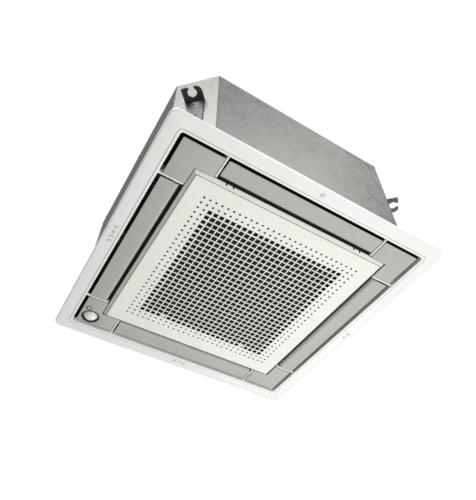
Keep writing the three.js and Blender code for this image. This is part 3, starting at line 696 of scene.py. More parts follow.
def rod(radius: float, low: Place, length: float, axis: str = "Z", sides: int = 24) -> Form:
    """Makes a round rod.

    Args:
        radius: Its radius.
        low: The middle of its lower end.
        length: Its length.
        axis: The axis that it lies along.
        sides: Its number of sides.

    Returns:
        The rod.
    """
    form = Form()
    bmesh.ops.create_cone(
        form.mesh, cap_ends=True, segments=sides, radius1=radius, radius2=radius, depth=length,
        matrix=Matrix.Translation((0, 0, length / 2)),
    )
    turn = {"X": Matrix.Rotation(math.pi / 2, 4, "Y"), "Y": Matrix.Rotation(-math.pi / 2, 4, "X")}
    return form.changed(Matrix.Translation(low) @ turn.get(axis, Matrix.Identity(4)))


def lathe(profile: Sequence[Point], steps: int, closed: bool = True) -> Form:
    """Turns a profile about Z.

    Args:
        profile: Its points, each a radius and a height.
        steps: Facets in a turn.
        closed: Whether the last point joins the first; an open profile starts and ends on the axis.

    Returns:
        The turned shape.
    """
    form = Form()
    points = [form.mesh.verts.new((radius, 0, height)) for radius, height in profile]
    ends = points[1:] + points[:1] if closed else points[1:]
    lines = [form.mesh.edges.new(pair) for pair in zip(points, ends)]
    bmesh.ops.spin(
        form.mesh, geom=points + lines, cent=(0, 0, 0), axis=(0, 0, 1), dvec=(0, 0, 0), angle=math.tau,
        steps=steps, use_merge=True, use_duplicate=False,
    )
    return outward(form)


def tube(points: Sequence[Place], radius: float) -> Form:
    """Makes a round tube's solid along a smooth route.

    Args:
        points: The points that the route passes.
        radius: The tube's radius.

    Returns:
        The tube.
    """
    route = bpy.data.curves.new("route", "CURVE")
    route.dimensions = "3D"
    route.bevel_depth = radius
    route.bevel_resolution = 3
    route.use_fill_caps = True
    line = route.splines.new("BEZIER")
    line.bezier_points.add(len(points) - 1)
    for knot, point in zip(line.bezier_points, points):
        knot.co = point
        knot.handle_left_type = knot.handle_right_type = "AUTO"
    holder = bpy.data.objects.new("route", route)
    bpy.context.scene.collection.objects.link(holder)
    seen = holder.evaluated_get(bpy.context.evaluated_depsgraph_get())
    form = Form()
    form.mesh.from_mesh(seen.to_mesh())
    seen.to_mesh_clear()
    bpy.data.objects.remove(holder)
    bpy.data.curves.remove(route)
    return outward(form)


def square_loop(form: Form, station: Station) -> list[bmesh.types.BMEdge]:
    """Draws one rounded square.

    Args:
        form: The form that it is drawn in.
        station: Its size and height.

    Returns:
        Its edges.
    """
    corners = bmesh.ops.create_grid(form.mesh, x_segments=1, y_segments=1, size=station.half)["verts"]
    bmesh.ops.translate(form.mesh, vec=(0, 0, station.height), verts=corners)
    made = bmesh.ops.bevel(
        form.mesh, geom=corners, offset=station.corner, offset_type="OFFSET", affect="VERTICES",
        segments=CORNER_FACETS, profile=0.5, material=-1,
    )
    face = made["verts"][0].link_faces[0]
    edges = list(face.edges)
    bmesh.ops.delete(form.mesh, geom=[face], context="FACES_ONLY")
    return edges


def square_sweep(stations: Sequence[Station]) -> Form:
    """Carries a closed section round a square, drawn out loop by loop from its first line.

    Args:
        stations: The section's corners in order.

    Returns:
        The ring.
    """
    form = Form()
    loop = square_loop(form, stations[0])
    before = stations[0]
    for station in [*stations[1:], stations[0]]:
        grown = bmesh.ops.extrude_edge_only(form.mesh, edges=loop)["geom"]
        loop = [part for part in grown if isinstance(part, bmesh.types.BMEdge)]
        for vert in (part for part in grown if isinstance(part, bmesh.types.BMVert)):
            vert.co = station.carried(vert.co, before)
        before = station
    outward(form)
    for station in stations:
        if station.soften:
            form.soften(station.soften, ROUNDING_FACETS, ends(station.holds))
    return form


def square_band(outer: Point, inner: Point, start: float, end: float) -> Form:
    """Makes a plain band round a square.

    Args:
        outer: Its outside: half the width, and the corner's radius.
        inner: Its inside in the same way.
        start: The height of one face.
        end: The height of the other.

    Returns:
        The band.
    """
    return square_sweep(
        [Station(*outer, start), Station(*outer, end), Station(*inner, end), Station(*inner, start)]
    )


def corner_outline(start: float, inner: float, end: float) -> list[Point]:
    """Returns the outline of an L-shaped piece across the front right corner.

    Args:
        start: Where its arms begin, from the panel's middle line.
        inner: How far out its inner corner is.
        end: How far out its outer corner is.

    Returns:
        The outline's corners in order.
    """
    return [(start, -end), (end, -end), (end, -start), (inner, -start), (inner, -inner), (start, -inner)]


def arc(middle: Point, radius: float, first: float, last: float, steps: int) -> list[Point]:
    """Returns points along a part of a circle.

    Args:
        middle: The circle's middle.
        radius: Its radius.
        first: The first point's angle in degrees.
        last: The last point's angle.
        steps: How many equal parts lie between them.

    Returns:
        The points.
    """
    angles = [math.radians(first + (last - first) * i / steps) for i in range(steps + 1)]
    return [(middle[0] + radius * math.cos(a), middle[1] + radius * math.sin(a)) for a in angles]


def hexagon(radius: float, low: float, high: float) -> Form:
    """Makes a hexagon nut's body along Z with turned corners.

    Args:
        radius: From its middle to a corner.
        low: The lower face's height.
        high: The upper face's height.

    Returns:
        The body.
    """
    lead = 0.16 * radius
    face = radius - lead
    side = [(radius, low + lead / 2), (radius, high - lead / 2)]
    turned = lathe([(0, low), (face, low), *side, (face, high), (0, high)], 48, closed=False)
    return rod(radius, (0, 0, low), high - low, sides=6).within(turned)


def screw_head() -> Form:
    """Makes a pan-head screw that points up, with a cross recess."""
    profile = [(0, 2.0), (1.6, 1.9), (3.0, 1.3), (3.8, 0.3), (3.8, -0.2), (0, -0.2)]
    cross = Form().add(block((-0.4, -1.9, 1.2), (0.4, 1.9, 3)), block((-1.9, -0.4, 1.2), (1.9, 0.4, 3)))
    return lathe(profile, 20, closed=False).carved(cross)


def finish_piece(
    name: str,
    form: Form,
    finish: Finish,
    body: str = "unit",
    stands_for: Iterable[str] = (),
    crease: float = 32.0,
) -> None:
    """Makes a piece of the finished form, dresses it and sets it on its body.

    Args:
        name: The piece's name.
        form: Its shape in millimetres.
        finish: Its finish.
        body: The body that it rides on.
        stands_for: The nodes that it replaces.
        crease: Edges sharper than this many degrees stay sharp.
    """
    bmesh.ops.transform(form.mesh, matrix=Matrix.Scale(MM, 4), verts=form.mesh.verts)
    mesh = bpy.data.meshes.new(name)
    form.mesh.to_mesh(mesh)
    form.mesh.free()
    mesh.shade_smooth()
    mesh.set_sharp_from_angle(angle=math.radians(crease))
    mesh.materials.append(material_of(finish))
    made = bpy.data.objects.new(name, mesh)
    bpy.context.scene.collection.objects.link(made)
    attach(made, body)
    nodes = list(stands_for)
    if nodes:
        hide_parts(*nodes)
    log.info("%s: %d faces on %s", name, len(mesh.polygons), body)


# ---------------------------------------------------------------- decoration panel
# The line of the grille's hinge, which runs along X.
HINGE_OUT = 218.2
HINGE_HEIGHT = -5.2

# Each outlet's marks: the side, how many, and their middle along the side and out from the centre.
OUTLET_MARKS = (
    (Side.FRONT, 1, 6.0, 296.5),
    (Side.RIGHT, 2, -4.0, 299.0),
    (Side.BACK, 3, -6.0, 291.0),
    (Side.LEFT, 4, 9.0, 292.5),
)


@dataclass
class DecorationPanel:
    """The white square frame with its deep well, the ribs beside the flaps and near-black sheets that are
    painted shade deep in the outlets.
    """

    half: float = 310.0
    corner: float = 15.0
    face: float = -8.5
    skin: float = 2.5
    rim_groove: float = 283.3
    groove_depth: float = 1.3
    well: float = 277.5
    wall: float = 3.0
    inlet_wall: float = 227.5
    shelf: float = 205.0
    shelf_height: float = 3.0
    duct_top: float = 26.7
    rib: Point = (181.2, 184.5)
    rib_face: float = -5.2
    deck_end: float = 264.0
    shade_lining_wall: float = 1.4
    lug_start: float = 141.0
    lug_width: float = 3.0
    lug_pitch: float = 15.0
    mark_pitch: float = 12.8

    def flange(self) -> Form:
        """Makes the flange, its groove and the well's wall as one ring."""
        back = self.face + self.skin
        outer_wall = self.well + self.wall
        inside = self.half - self.wall
        groove, floor = self.rim_groove, self.face + self.groove_depth
        return square_sweep(
            [
                Station(self.half, self.corner, 0.0, 0.8),
                Station(self.half, self.corner, self.face, 3.0),
                Station(groove + 0.45, 9.0, self.face),
                Station(groove + 0.35, 8.9, floor),
                Station(groove - 0.35, 8.1, floor),
                Station(groove - 0.45, 8.0, self.face),
                Station(self.well, 6.0, self.face, 1.2),
                Station(self.well, 6.0, self.duct_top),
                Station(outer_wall, 9.0, self.duct_top),
                Station(outer_wall, 9.0, back),
                Station(inside, 12.0, back),
                Station(inside, 12.0, 0.0),
            ]
        )

    def inlet(self) -> Form:
        """Makes the wall between the outlets and the inlet, with the shelf over the grille."""
        top_of_shelf = self.shelf_height + self.skin
        inside = self.inlet_wall - self.wall
        return square_sweep(
            [
                Station(self.inlet_wall, 4.0, self.duct_top),
                Station(self.inlet_wall, 4.0, self.shelf_height, 0.6),
                Station(self.shelf, 6.0, self.shelf_height, 0.6),
                Station(self.shelf, 6.0, top_of_shelf),
                Station(inside, 2.0, top_of_shelf),
                Station(inside, 2.0, self.duct_top),
            ]
        )

    def corner_plate(self, low: float, high: float, end: float) -> Form:
        """Makes an L-shaped plate across the front right corner."""
        return plate(corner_outline(self.rib[0] + 1, self.inlet_wall - 1, end), low, high)

    def lugs(self) -> Form:
        """Makes the two pairs of lugs that hold the grille's hinge pins."""
        start, end = self.lug_start, self.lug_start + self.lug_width
        lug = Form().add(
            rod(2.6, (start, -HINGE_OUT, HINGE_HEIGHT), self.lug_width, "X", 20),
            block((start, -HINGE_OUT - 0.2, HINGE_HEIGHT), (end, -HINGE_OUT + 5, 4.0)),
        )
        return Form().add(lug, lug.moved(x=self.lug_pitch)).both_ends()

    def marks(self) -> tuple[Form, Form]:
        """Makes the round marks that number the outlets: one, two, three and four.

        Returns:
            The raised buttons and the dark rings round them, painted shade for a groove about each button.
        """
        button = lathe([(0, -9.9), (2.2, -9.8), (2.9, -9.4), (3.1, -8.3), (0, -8.3)], 24, closed=False)
        # Each ring's grey is painted shade round its button.
        ring = lathe([(3.1, -8.62), (3.9, -8.62), (3.9, -8.4), (3.1, -8.4)], 24)
        buttons, rings = Form(), Form()
        for side, count, middle, out in OUTLET_MARKS:
            for i in range(count):
                x = middle + (i - (count - 1) / 2) * self.mark_pitch
                buttons.add(button.moved(x=x, y=-out).on(side))
                rings.add(ring.moved(x=x, y=-out).on(side))
        return buttons, rings

    def seam(self) -> Form:
        """Makes a black strip at the bottom of the groove round the rim, painted shade that darkens the
        groove.
        """
        groove = self.rim_groove
        return square_band((groove + 0.3, 8.8), (groove - 0.3, 8.2), self.face + 1.2, self.face + 0.35)

    def shade_lining(self) -> Form:
        """Makes near-black sheets that are painted shade in the outlets and over the blanked corners."""
        low, high = self.shelf_height + 0.4, self.duct_top - 3.2
        wall = self.shade_lining_wall
        out, inner = self.well - 0.2, self.inlet_wall + 0.2
        outer_band = square_band((out, 5.8), (out - wall, 4.6), high, low)
        inner_band = square_band((inner + wall, 5.2), (inner, 4.2), high, low)
        ends_of_duct = block(
            (self.rib[0] - wall, -out + 1, -1.5), (self.rib[0] - 0.2, -inner - 1, high)
        ).both_ends()
        roof = self.corner_plate(high - 0.4, high + 0.6, out - 1)
        return Form().add(outer_band, inner_band, ends_of_duct.four_sides(), roof.four_sides())

    def build(self) -> None:
        """Builds the frame, and the near-black pieces inside it that are painted shade."""
        rib = block(
            (self.rib[0], -self.well - 1, self.rib_face),
            (self.rib[1], -self.inlet_wall + 1, self.duct_top),
            0.5,
        ).both_ends()
        motor_opening = block((185, -256, 0), (205, -229.5, 10))
        deck = self.corner_plate(self.shelf_height, self.shelf_height + self.skin, self.deck_end)
        deck = deck.carved(motor_opening)
        roof = self.corner_plate(self.duct_top - self.skin, self.duct_top, self.well + 1)
        white = Form().add(self.flange(), rib.four_sides())
        finish_piece("panel_frame_shell", white, WHITE_PANEL, stands_for=["panel_frame"])
        # The inner frame is near black as painted shade, so the deep gaps round the covers and the grille
        # read dark.
        inner = Form().add(self.inlet(), deck.four_sides(), roof.four_sides())
        finish_piece("panel_inner_shade_frame", inner, INNER_SHADE_BLACK)
        finish_piece("grille_hinge_lugs", self.lugs(), WHITE_PANEL)
        buttons, rings = self.marks()
        finish_piece("outlet_number_buttons", buttons, WHITE_PANEL)
        finish_piece("outlet_number_shade_rings", rings, SHADOW_GREY)
        # The strip in the rim's groove is painted shade.
        finish_piece("rim_groove_shade", self.seam(), WELL_SHADE_BLACK)
        finish_piece("outlet_duct_shade_lining", self.shade_lining(), WELL_SHADE_BLACK)


@dataclass
class OutletFlap:
    """A flap that closes one outlet: a flat blade, a round nose about its pivot, cheeks and pins."""

    half_length: float = 177.6
    outer: float = 269.4
    pivot_out: float = 238.7
    pivot_height: float = 1.0
    nose: float = 7.5
    skin: float = 2.3
    pin: float = 2.5
    pin_reach: float = 183.9

    def shape(self) -> Form:
        """Makes the front flap."""
        x, y, z = self.half_length, -self.pivot_out, self.pivot_height
        face = z - self.nose
        back = face + self.skin
        shell = rod(self.nose, (-x, y, z), 2 * x, "X", 48)
        hollow = rod(self.nose - self.skin, (-x - 1, y, z), 2 * x + 2, "X", 48)
        behind = block((-x - 1, -self.outer, back), (x + 1, y - 1.5, 20))
        blade = block((-x, -self.outer, face), (x, y, back))
        blade.soften(0.9, 3, ends(lambda at: at.y < -self.outer + 0.1))
        cheek = rod(self.nose - 0.05, (x - self.skin, y, z), self.skin, "X", 32)
        pin = rod(self.pin, (x - 2, y, z), self.pin_reach - x + 2, "X")
        lip = block((-x + 6, -self.outer + 4, back - 0.5), (x - 6, -self.outer + 5.6, back + 1.6), 0.4)
        nose = shell.carved(hollow, behind)
        return Form().add(nose, blade, cheek.both_ends(), pin.both_ends(), lip)

    def build(self) -> None:
        """Builds the four flaps."""
        flap = self.shape()
        for side in Side:
            name = side.label
            finish_piece(f"outlet_flap_{name}", flap.on(side), GREY_FLAP, f"{name}_flap", [f"flap_{name}"])


@dataclass
class CornerCovers:
    """The L-shaped covers in the corners, one of which carries the sensor and the receiver.

    The sensor and the receiver give their middle in X and Y, as on the front right corner, and the radius
    of the part that stands in the cover's hole.
    """

    start: float = 186.0
    end: float = 269.4
    inner: float = 225.1
    face: float = -6.5
    skin: float = 2.3
    sensor: Place = (244.7, -246.0, 20.0)
    receiver: Place = (257.6, -220.0, 5.0)
    hole_gap: float = 0.5
    dome: float = 19.0
    dome_angle: float = 63.0

    def shape(self) -> Form:
        """Makes the front right cover with softened edges and two legs."""
        cover = plate(corner_outline(self.start, self.inner, self.end), self.face, self.face + self.skin)
        cover.soften(2.0, 3, along(2))
        cover.soften(0.7, 3, ends(lambda at: at.z < self.face + 0.01))
        legs = [rod(3.0, (x, y, self.face + 1), 8.2, sides=16) for x, y in ((212, -248), (254, -206))]
        return cover.add(*legs)

    @staticmethod
    def seated(shape: Form, hole: Place) -> Form:
        """Returns a shape brought from the middle to a hole of the back right cover."""
        return shape.moved(hole[0], hole[1]).on(Side.BACK)

    def sensor_parts(self) -> None:
        """Builds the round sensor's ring and dome and the receiver's window and collar."""
        ring = lathe([(18.2, -7.0), (18.6, -7.7), (19.4, -7.8), (20.0, -7.4), (20.0, -3.4), (18.2, -3.4)], 64)
        finish_piece("sensor_bezel", self.seated(ring, self.sensor), SENSOR_BEZEL, stands_for=["sensor_ring"])
        curve = arc((0, 6.5), self.dome, -90, self.dome_angle - 90, 14)
        dome = lathe([*curve, (17.2, 2.7), (0, 2.7)], 64, closed=False)
        finish_piece("sensor_window", self.seated(dome, self.sensor), LENS, stands_for=["sensor_dome"])
        profile = [(0, -8.0), (1.8, -7.8), (3.2, -7.2), (4.2, -6.5), (4.2, 2.7), (0, 2.7)]
        window = self.seated(lathe(profile, 32, closed=False), self.receiver)
        finish_piece("receiver_window", window, SMOKED_LENS, stands_for=["receiver_lens"])
        brim = [(6.0, -7.2), (6.3, -6.9), (6.3, -6.52), (5.2, -6.52)]
        collar = lathe([(4.3, -7.2), *brim, (5.2, -4.0), (4.3, -4.0)], 32)
        finish_piece("receiver_collar", self.seated(collar, self.receiver), BLACK_MOULDING)

    def build(self) -> None:
        """Builds the four covers and what the back one carries."""
        plain = self.shape()
        holes = [
            rod(radius + self.hole_gap, (x, y, -20), 24.3, sides=64)
            for x, y, radius in (self.sensor, self.receiver)
        ]
        for side in Side:
            cover = plain.carved(*holes) if side is Side.BACK else plain
            name = f"corner_cover_{side.label}"
            finish_piece(f"{name}_shell", cover.on(side), GREY_FLAP, stands_for=[name])
        self.sensor_parts()


@dataclass
class SuctionGrille:
    """The perforated grille with its bevelled rim, the ledge for the filter and the hinge barrels."""

    pitch: float = 12.917
    count: int = 29
    face: float = -11.0
    plate: float = 1.2
    face_half: float = 216.2
    rim_half: float = 223.3
    rim_top: float = -1.5
    square: float = 10.8
    edge_square: float = 9.5
    dimple: float = 5.2
    dot: float = 4.8
    dimple_ring: int = 1
    corner_cut: float = 0.29
    ledge: float = 189.0
    ledge_wall: float = 2.4
    ledge_top: float = -6.3
    barrel: float = 2.4
    barrel_start: float = 144.3
    barrel_length: float = 11.4
    lug_slots: Point = (140.6, 155.6)

    @property
    def field(self) -> float:
        """Half the width of the perforated field."""
        return self.pitch * self.count / 2

    @property
    def ring_widths(self) -> dict[int, float]:
        """The width of the openings in the outer rings, counted from the edge."""
        return {0: self.dot, self.dimple_ring: self.dimple, self.dimple_ring + 1: self.edge_square}

    def rings_in(self, middle: Vector) -> int:
        """Returns how many rings in from the perforation's edge a hole lies, zero for the outermost."""
        out = max(abs(middle.x), abs(middle.y)) / self.pitch
        return round((self.count - 1) / 2 - out)

    def perforated(self) -> Form:
        """Makes the face as a sheet with its holes, without thickness."""
        form = Form()
        mesh = form.mesh
        bmesh.ops.create_grid(mesh, x_segments=self.count, y_segments=self.count, size=self.field)
        groups: dict[float, list[bmesh.types.BMFace]] = {}
        for cell in mesh.faces:
            width = self.ring_widths.get(self.rings_in(cell.calc_center_median()), self.square)
            groups.setdefault(width, []).append(cell)
        for width, group in groups.items():
            bmesh.ops.inset_individual(
                mesh, faces=group, thickness=(self.pitch - width) / 2, use_even_offset=True
            )
            if width < self.pitch / 2:
                rounded = [vert for cell in group for vert in cell.verts]
                bmesh.ops.bevel(
                    mesh, geom=rounded, offset=width * self.corner_cut, offset_type="OFFSET",
                    affect="VERTICES", segments=1, profile=0.5, material=-1,
                )
        bmesh.ops.delete(mesh, geom=[cell for cell in mesh.faces if self.is_hole(cell)], context="FACES_ONLY")
        bmesh.ops.translate(mesh, vec=(0, 0, self.face), verts=mesh.verts)
        return form

    def is_hole(self, cell: bmesh.types.BMFace) -> bool:
        """Tells a hole's face, whose middle is on the pattern, from the bars round it."""
        middle = cell.calc_center_median()
        offsets = [(value / self.pitch + self.count / 2) % 1.0 - 0.5 for value in (middle.x, middle.y)]
        inside = max(abs(middle.x), abs(middle.y)) < self.field
        return inside and all(abs(offset) < 0.05 for offset in offsets)

    def rim(self, form: Form) -> None:
        """Draws the face's edge out into a fine groove, the bevel and the side wall.

        Args:
            form: The perforated sheet.
        """
        mesh = form.mesh
        edge = [line for line in mesh.edges if line.is_boundary and self.on_outline(line)]
        steps = [
            (self.face_half, self.face),
            (self.face_half + 0.2, self.face + 1.4),
            (self.face_half + 1.3, self.face + 1.4),
            (self.face_half + 1.5, self.face + 0.5),
            (self.rim_half - 0.7, self.face + 6.8),
            (self.rim_half, self.face + 7.8),
            (self.rim_half, self.rim_top),
        ]
        half, height = self.field, self.face
        for new_half, new_height in steps:
            grown = bmesh.ops.extrude_edge_only(mesh, edges=edge)["geom"]
            edge = [part for part in grown if isinstance(part, bmesh.types.BMEdge)]
            verts = [part for part in grown if isinstance(part, bmesh.types.BMVert)]
            factor = new_half / half
            bmesh.ops.scale(mesh, vec=(factor, factor, 1), verts=verts)
            bmesh.ops.translate(mesh, vec=(0, 0, new_height - height), verts=verts)
            half, height = new_half, new_height

    def on_outline(self, line: bmesh.types.BMEdge) -> bool:
        """Tells whether an edge lies on the perforated field's outline."""
        return ends(lambda at: max(abs(at.x), abs(at.y)) > self.field - 0.01)(line)

    def on_mitre(self, line: bmesh.types.BMEdge) -> bool:
        """Tells whether an edge of the rim runs down one of its corners."""
        return ends(lambda at: abs(abs(at.x) - abs(at.y)) < 0.01 and abs(at.x) > self.face_half - 0.01)(line)

    def fittings(self) -> Form:
        """Makes the filter's ledge and clips and the hinge barrels behind the face."""
        top = self.face + self.plate - 0.1
        latch_gaps = block((98.3, 150, -20), (108.3, 200, 0)).both_ends()
        ledge = square_band((self.ledge, 3), (self.ledge - self.ledge_wall, 2), top, self.ledge_top)
        clip = Form().add(
            block((-8, -195.2, top), (8, -193.2, -1.5), 0.3), block((-8, -194, -2.3), (8, -190, -1.5), 0.3)
        )
        start, end = self.barrel_start, self.barrel_start + self.barrel_length
        barrel = Form().add(
            rod(self.barrel, (start, -HINGE_OUT, HINGE_HEIGHT), self.barrel_length, "X", 24),
            block((start, -HINGE_OUT, top), (end, -HINGE_OUT + self.barrel, HINGE_HEIGHT)),
        )
        return Form().add(ledge.carved(latch_gaps), clip.four_sides(), barrel.both_ends())

    def shade_backing(self) -> Form:
        """Makes the grey strip close behind the second ring of openings, which leaves them as shallow
        dimples; its grey is painted shade in the dimples.
        """
        middle = ((self.count - 1) / 2 - self.dimple_ring) * self.pitch
        back = self.face + self.plate
        return square_band((middle + 3.2, 3.0), (middle - 3.2, 3.0), back + 0.5, back + 0.02)

    def seam(self) -> Form:
        """Makes a dark grey strip at the bottom of the groove between the face and the bevel, painted shade
        in the groove.
        """
        low = self.face + 0.8
        return square_band((self.face_half + 1.28, 1.5), (self.face_half + 0.22, 1.0), low + 0.59, low)

    def build(self) -> None:
        """Builds the grille."""
        sheet = self.perforated()
        self.rim(sheet)
        mesh = sheet.mesh
        sheet.soften(2.2, 3, self.on_mitre)
        bmesh.ops.recalc_face_normals(mesh, faces=mesh.faces)
        lowest = min(mesh.faces, key=lambda cell: cell.calc_center_median().z)
        if lowest.normal.z > 0:
            bmesh.ops.reverse_faces(mesh, faces=mesh.faces)
        bmesh.ops.solidify(mesh, geom=list(mesh.faces), thickness=self.plate)
        slots = [block((start, -226, -5.7), (start + 3.8, -217, 0)) for start in self.lug_slots]
        shell = sheet.carved(Form().add(*slots).both_ends()).add(self.fittings())
        finish_piece("suction_grille_shell", shell, IVORY_GRILLE, "grille", ["suction_grille"])
        finish_piece("grille_shade_backing_strip", self.shade_backing(), SHADOW_GREY, "grille")
        finish_piece("grille_bevel_groove_shade", self.seam(), SHADOW_GREY, "grille")


@dataclass
class GrilleLatches:
    """The two sliding latches: a ribbed finger tab, a bar, a post and its hook."""

    out: float = 103.3
    face: float = -11.0
    hole_y: float = 152.8
    half_width: float = 4.0
    ridges: int = 5
    ridge_pitch: float = 3.0

    def shape(self) -> Form:
        """Makes a latch at the middle."""
        y, w = self.hole_y, self.half_width
        tab = block((-1.5, y - 1.5, self.face + 0.6), (1.5, y + 1.5, -8), 0.4)
        bar = block((-w, y - 3, -8.2), (w, 198, -6.4), 0.5)
        post = block((-w, 195, -7), (w, 198, 8), 0.5)
        hook = block((-w, 197, 6), (w, 204.5, 8)).soften(1.2, 3, ends(lambda at: at.y > 204))
        starts = [y + 4 + self.ridge_pitch * i for i in range(self.ridges)]
        ridges = [block((-3.2, start, -6.6), (3.2, start + 1.2, -5.9), 0.25) for start in starts]
        return Form().add(tab, bar, post, hook, *ridges)

    def build(self) -> None:
        """Builds a latch on each latch's body."""
        latch = self.shape()
        for name, x in (("left", -self.out), ("right", self.out)):
            nodes = [f"grille_latch_{name}"]
            finish_piece(f"latch_slide_{name}", latch.moved(x=x), WHITE_PANEL, f"{name}_latch", nodes)


# ---------------------------------------------------------------- casing
# Where the pipes leave the right side, in Y and Z, and the drain the back, in X and Z.
GAS_PLACE: Point = (172.0, 120.0)
LIQUID_PLACE: Point = (204.0, 168.0)
DRAIN_PLACE: Point = (180.0, 200.0)

# The screws of one side, along it and up.
SIDE_SCREWS = ((-196, 40), (-70, 40), (60, 40), (196, 40), (-190, 281), (20, 281))

# The route of the bead on the front, along it and up.
BEAD_ROUTE = (
    (128, 273.5), (150, 277), (172, 277.5), (189, 273), (200, 259), (204.3, 236), (205.5, 210), (206, 180),
)


@dataclass
class Casing:
    """The bent galvanised sheets, the lid, the bead and the screws."""

    half: float = 287.5
    corner: float = 219.0
    bottom: float = 29.0
    top: float = 289.0
    sheet: float = 1.2
    gap: float = 0.3
    outer_bend: float = 4.0
    inner_bend: float = 3.0
    bead_radius: float = 1.8
    bead_height: float = 0.8
    gas_hole: float = 7.85
    liquid_hole: float = 4.7
    drain_hole: float = 13.5

    def side_sheet(self) -> Form:
        """Makes one bent sheet: the front side and the chamfer at its right end."""
        step = self.gap / math.sqrt(2)
        flat = self.half - self.sheet
        inner = self.half + self.corner - self.sheet * math.sqrt(2) - flat
        outline = [
            (-self.corner + self.gap, -self.half), (self.corner, -self.half),
            (self.half - step, -self.corner - step), (flat - step, -inner - step),
            (inner, -flat), (-inner + self.gap, -flat),
        ]
        form = plate(outline, self.bottom, self.top - self.sheet - self.gap)
        form.soften(self.outer_bend, 5, at_corner(Vector((self.corner, -self.half))))
        form.soften(self.inner_bend, 5, at_corner(Vector((inner, -flat))))
        return form

    def lid(self) -> Form:
        """Makes the eight-sided top sheet with softened edges."""
        a, b = self.half, self.corner
        outline = [(b, -a), (a, -b), (a, b), (b, a), (-b, a), (-a, b), (-a, -b), (-b, -a)]
        return plate(outline, self.top - self.sheet, self.top).soften_sharp(0.4)

    def screws(self) -> Form:
        """Places the screws along the lower and upper edges of every side."""
        head = screw_head().turned(math.pi / 2, "X")
        return Form().add(*(head.moved(x, -self.half, z) for x, z in SIDE_SCREWS)).four_sides()

    def bead(self) -> Form:
        """Makes the shallow bead pressed into the front near its upper right corner."""
        bead = tube([(x, 0, z) for x, z in BEAD_ROUTE], self.bead_radius)
        bmesh.ops.scale(bead.mesh, vec=(1, self.bead_height, 1), verts=bead.mesh.verts)
        return bead.moved(y=-self.half)

    def build(self) -> None:
        """Builds the sheets, the lid, the bead and the screws."""
        sheet = self.side_sheet()
        drain_x, drain_z = DRAIN_PLACE
        holes = {
            Side.RIGHT: [
                rod(self.gas_hole, (200, *GAS_PLACE), 150, "X"),
                rod(self.liquid_hole, (200, *LIQUID_PLACE), 150, "X"),
            ],
            Side.BACK: [rod(self.drain_hole, (drain_x, 200, drain_z), 150, "Y", 32)],
        }
        for side in Side:
            turned = sheet.on(side)
            if side in holes:
                turned = turned.carved(*holes[side])
            nodes = [f"casing_side_{side.label}"]
            finish_piece(f"casing_sheet_{side.label}", turned, CASING_SHEET, stands_for=nodes, crease=20)
        finish_piece("casing_lid_sheet", self.lid(), CASING_SHEET, stands_for=["casing_top"])
        finish_piece("casing_bead", self.bead(), CASING_SHEET)
        finish_piece("casing_screws", self.screws(), SCREW_STEEL)


@dataclass
class HangerBracket:
    """A pressed bracket on a chamfer: a tapered plate and a bent flange with the slot for the rod.

    It is made with X along the chamfer's face and -Y outwards, and then turned to its corner.
    """

    chamfer_out: float = 358.15
    gap: float = 0.3
    half_width: float = 20.5
    foot_half_width: float = 8.0
    sheet: float = 2.3
    reach: float = 31.0
    top: float = 187.0
    bottom: float = 60.0
    rod_out: float = 18.7
    slot_radius: float = 9.5
    slot_neck: float = 11.5
    screw_height: float = 76.0

    def upright(self) -> Form:
        """Makes the tapered plate with its hole and slot."""
        face = -self.chamfer_out - self.gap
        outer = face - self.sheet
        w, foot = self.half_width, self.foot_half_width
        low, high = self.bottom, self.top
        outline = [(-foot, low), (w, low), (w, high), (-w, high), (-w, high - 8), (-foot, high - 62)]
        form = plate(outline, -face, -outer).turned(math.pi / 2, "X")
        at_foot, through = ends(lambda at: at.z < low + 0.1), along(1)
        form.soften(3.0, 4, lambda edge: at_foot(edge) and through(edge))
        return form.carved(
            rod(3.0, (-1, outer - 2, high - 23), 8, "Y", 20),
            block((-3.5, outer - 2, high - 76), (8.5, face + 2, high - 71)),
        )

    def flange(self) -> Form:
        """Makes the bent flange with the open slot for the suspension rod."""
        face, tip = -self.chamfer_out - self.gap, -self.chamfer_out - self.reach
        rod_y = -self.chamfer_out - self.rod_out
        w, neck, high = self.half_width, self.slot_neck / 2, self.top
        form = plate([(-w, face), (-w, tip), (w, tip), (w, face)], high - self.sheet, high)
        for x, width in ((w, 13.0), (-w, 3.0)):
            form.soften(width, 6, at_corner(Vector((x, tip))))
        return form.carved(
            rod(self.slot_radius, (0, rod_y, high - 10), 20, sides=32),
            block((-neck, tip - 5, high - 10), (neck, rod_y, high + 10)),
        )

    def pad(self) -> Form:
        """Makes a thin black sheet between the plate and the casing, painted shade seen through the hole and
        the slot and along the plate's right edge.
        """
        w, low, high = self.half_width, self.bottom + 1, self.top - 3
        outline = [(-7.5, low), (w + 1.2, low), (w + 1.2, high), (-w + 1, high), (-7.5, high - 59)]
        back, front = self.chamfer_out + 0.02, self.chamfer_out + 0.28
        return plate(outline, back, front).turned(math.pi / 2, "X")

    def build(self) -> None:
        """Builds the four brackets, their screws and the black sheets of painted shade behind them."""
        bracket = Form().add(self.flange(), self.upright())
        head = screw_head().turned(math.pi / 2, "X")
        face = -self.chamfer_out - self.gap - self.sheet
        screws = Form().add(*(head.moved(x, face, self.screw_height) for x in (12.0, -2.0)))
        pad = self.pad()
        for side in Side:
            name, turn = side.label, side.angle + math.pi / 4
            nodes = [f"hanger_bracket_{name}"]
            finish_piece(f"hanger_plate_{name}", bracket.turned(turn), BRACKET_PLATE, stands_for=nodes)
            finish_piece(f"hanger_screws_{name}", screws.turned(turn), SCREW_STEEL)
            # The black sheet behind each plate is painted shade in its hole, its slot and along its right
            # edge.
            finish_piece(f"hanger_pad_{name}", pad.turned(turn), RUBBER)


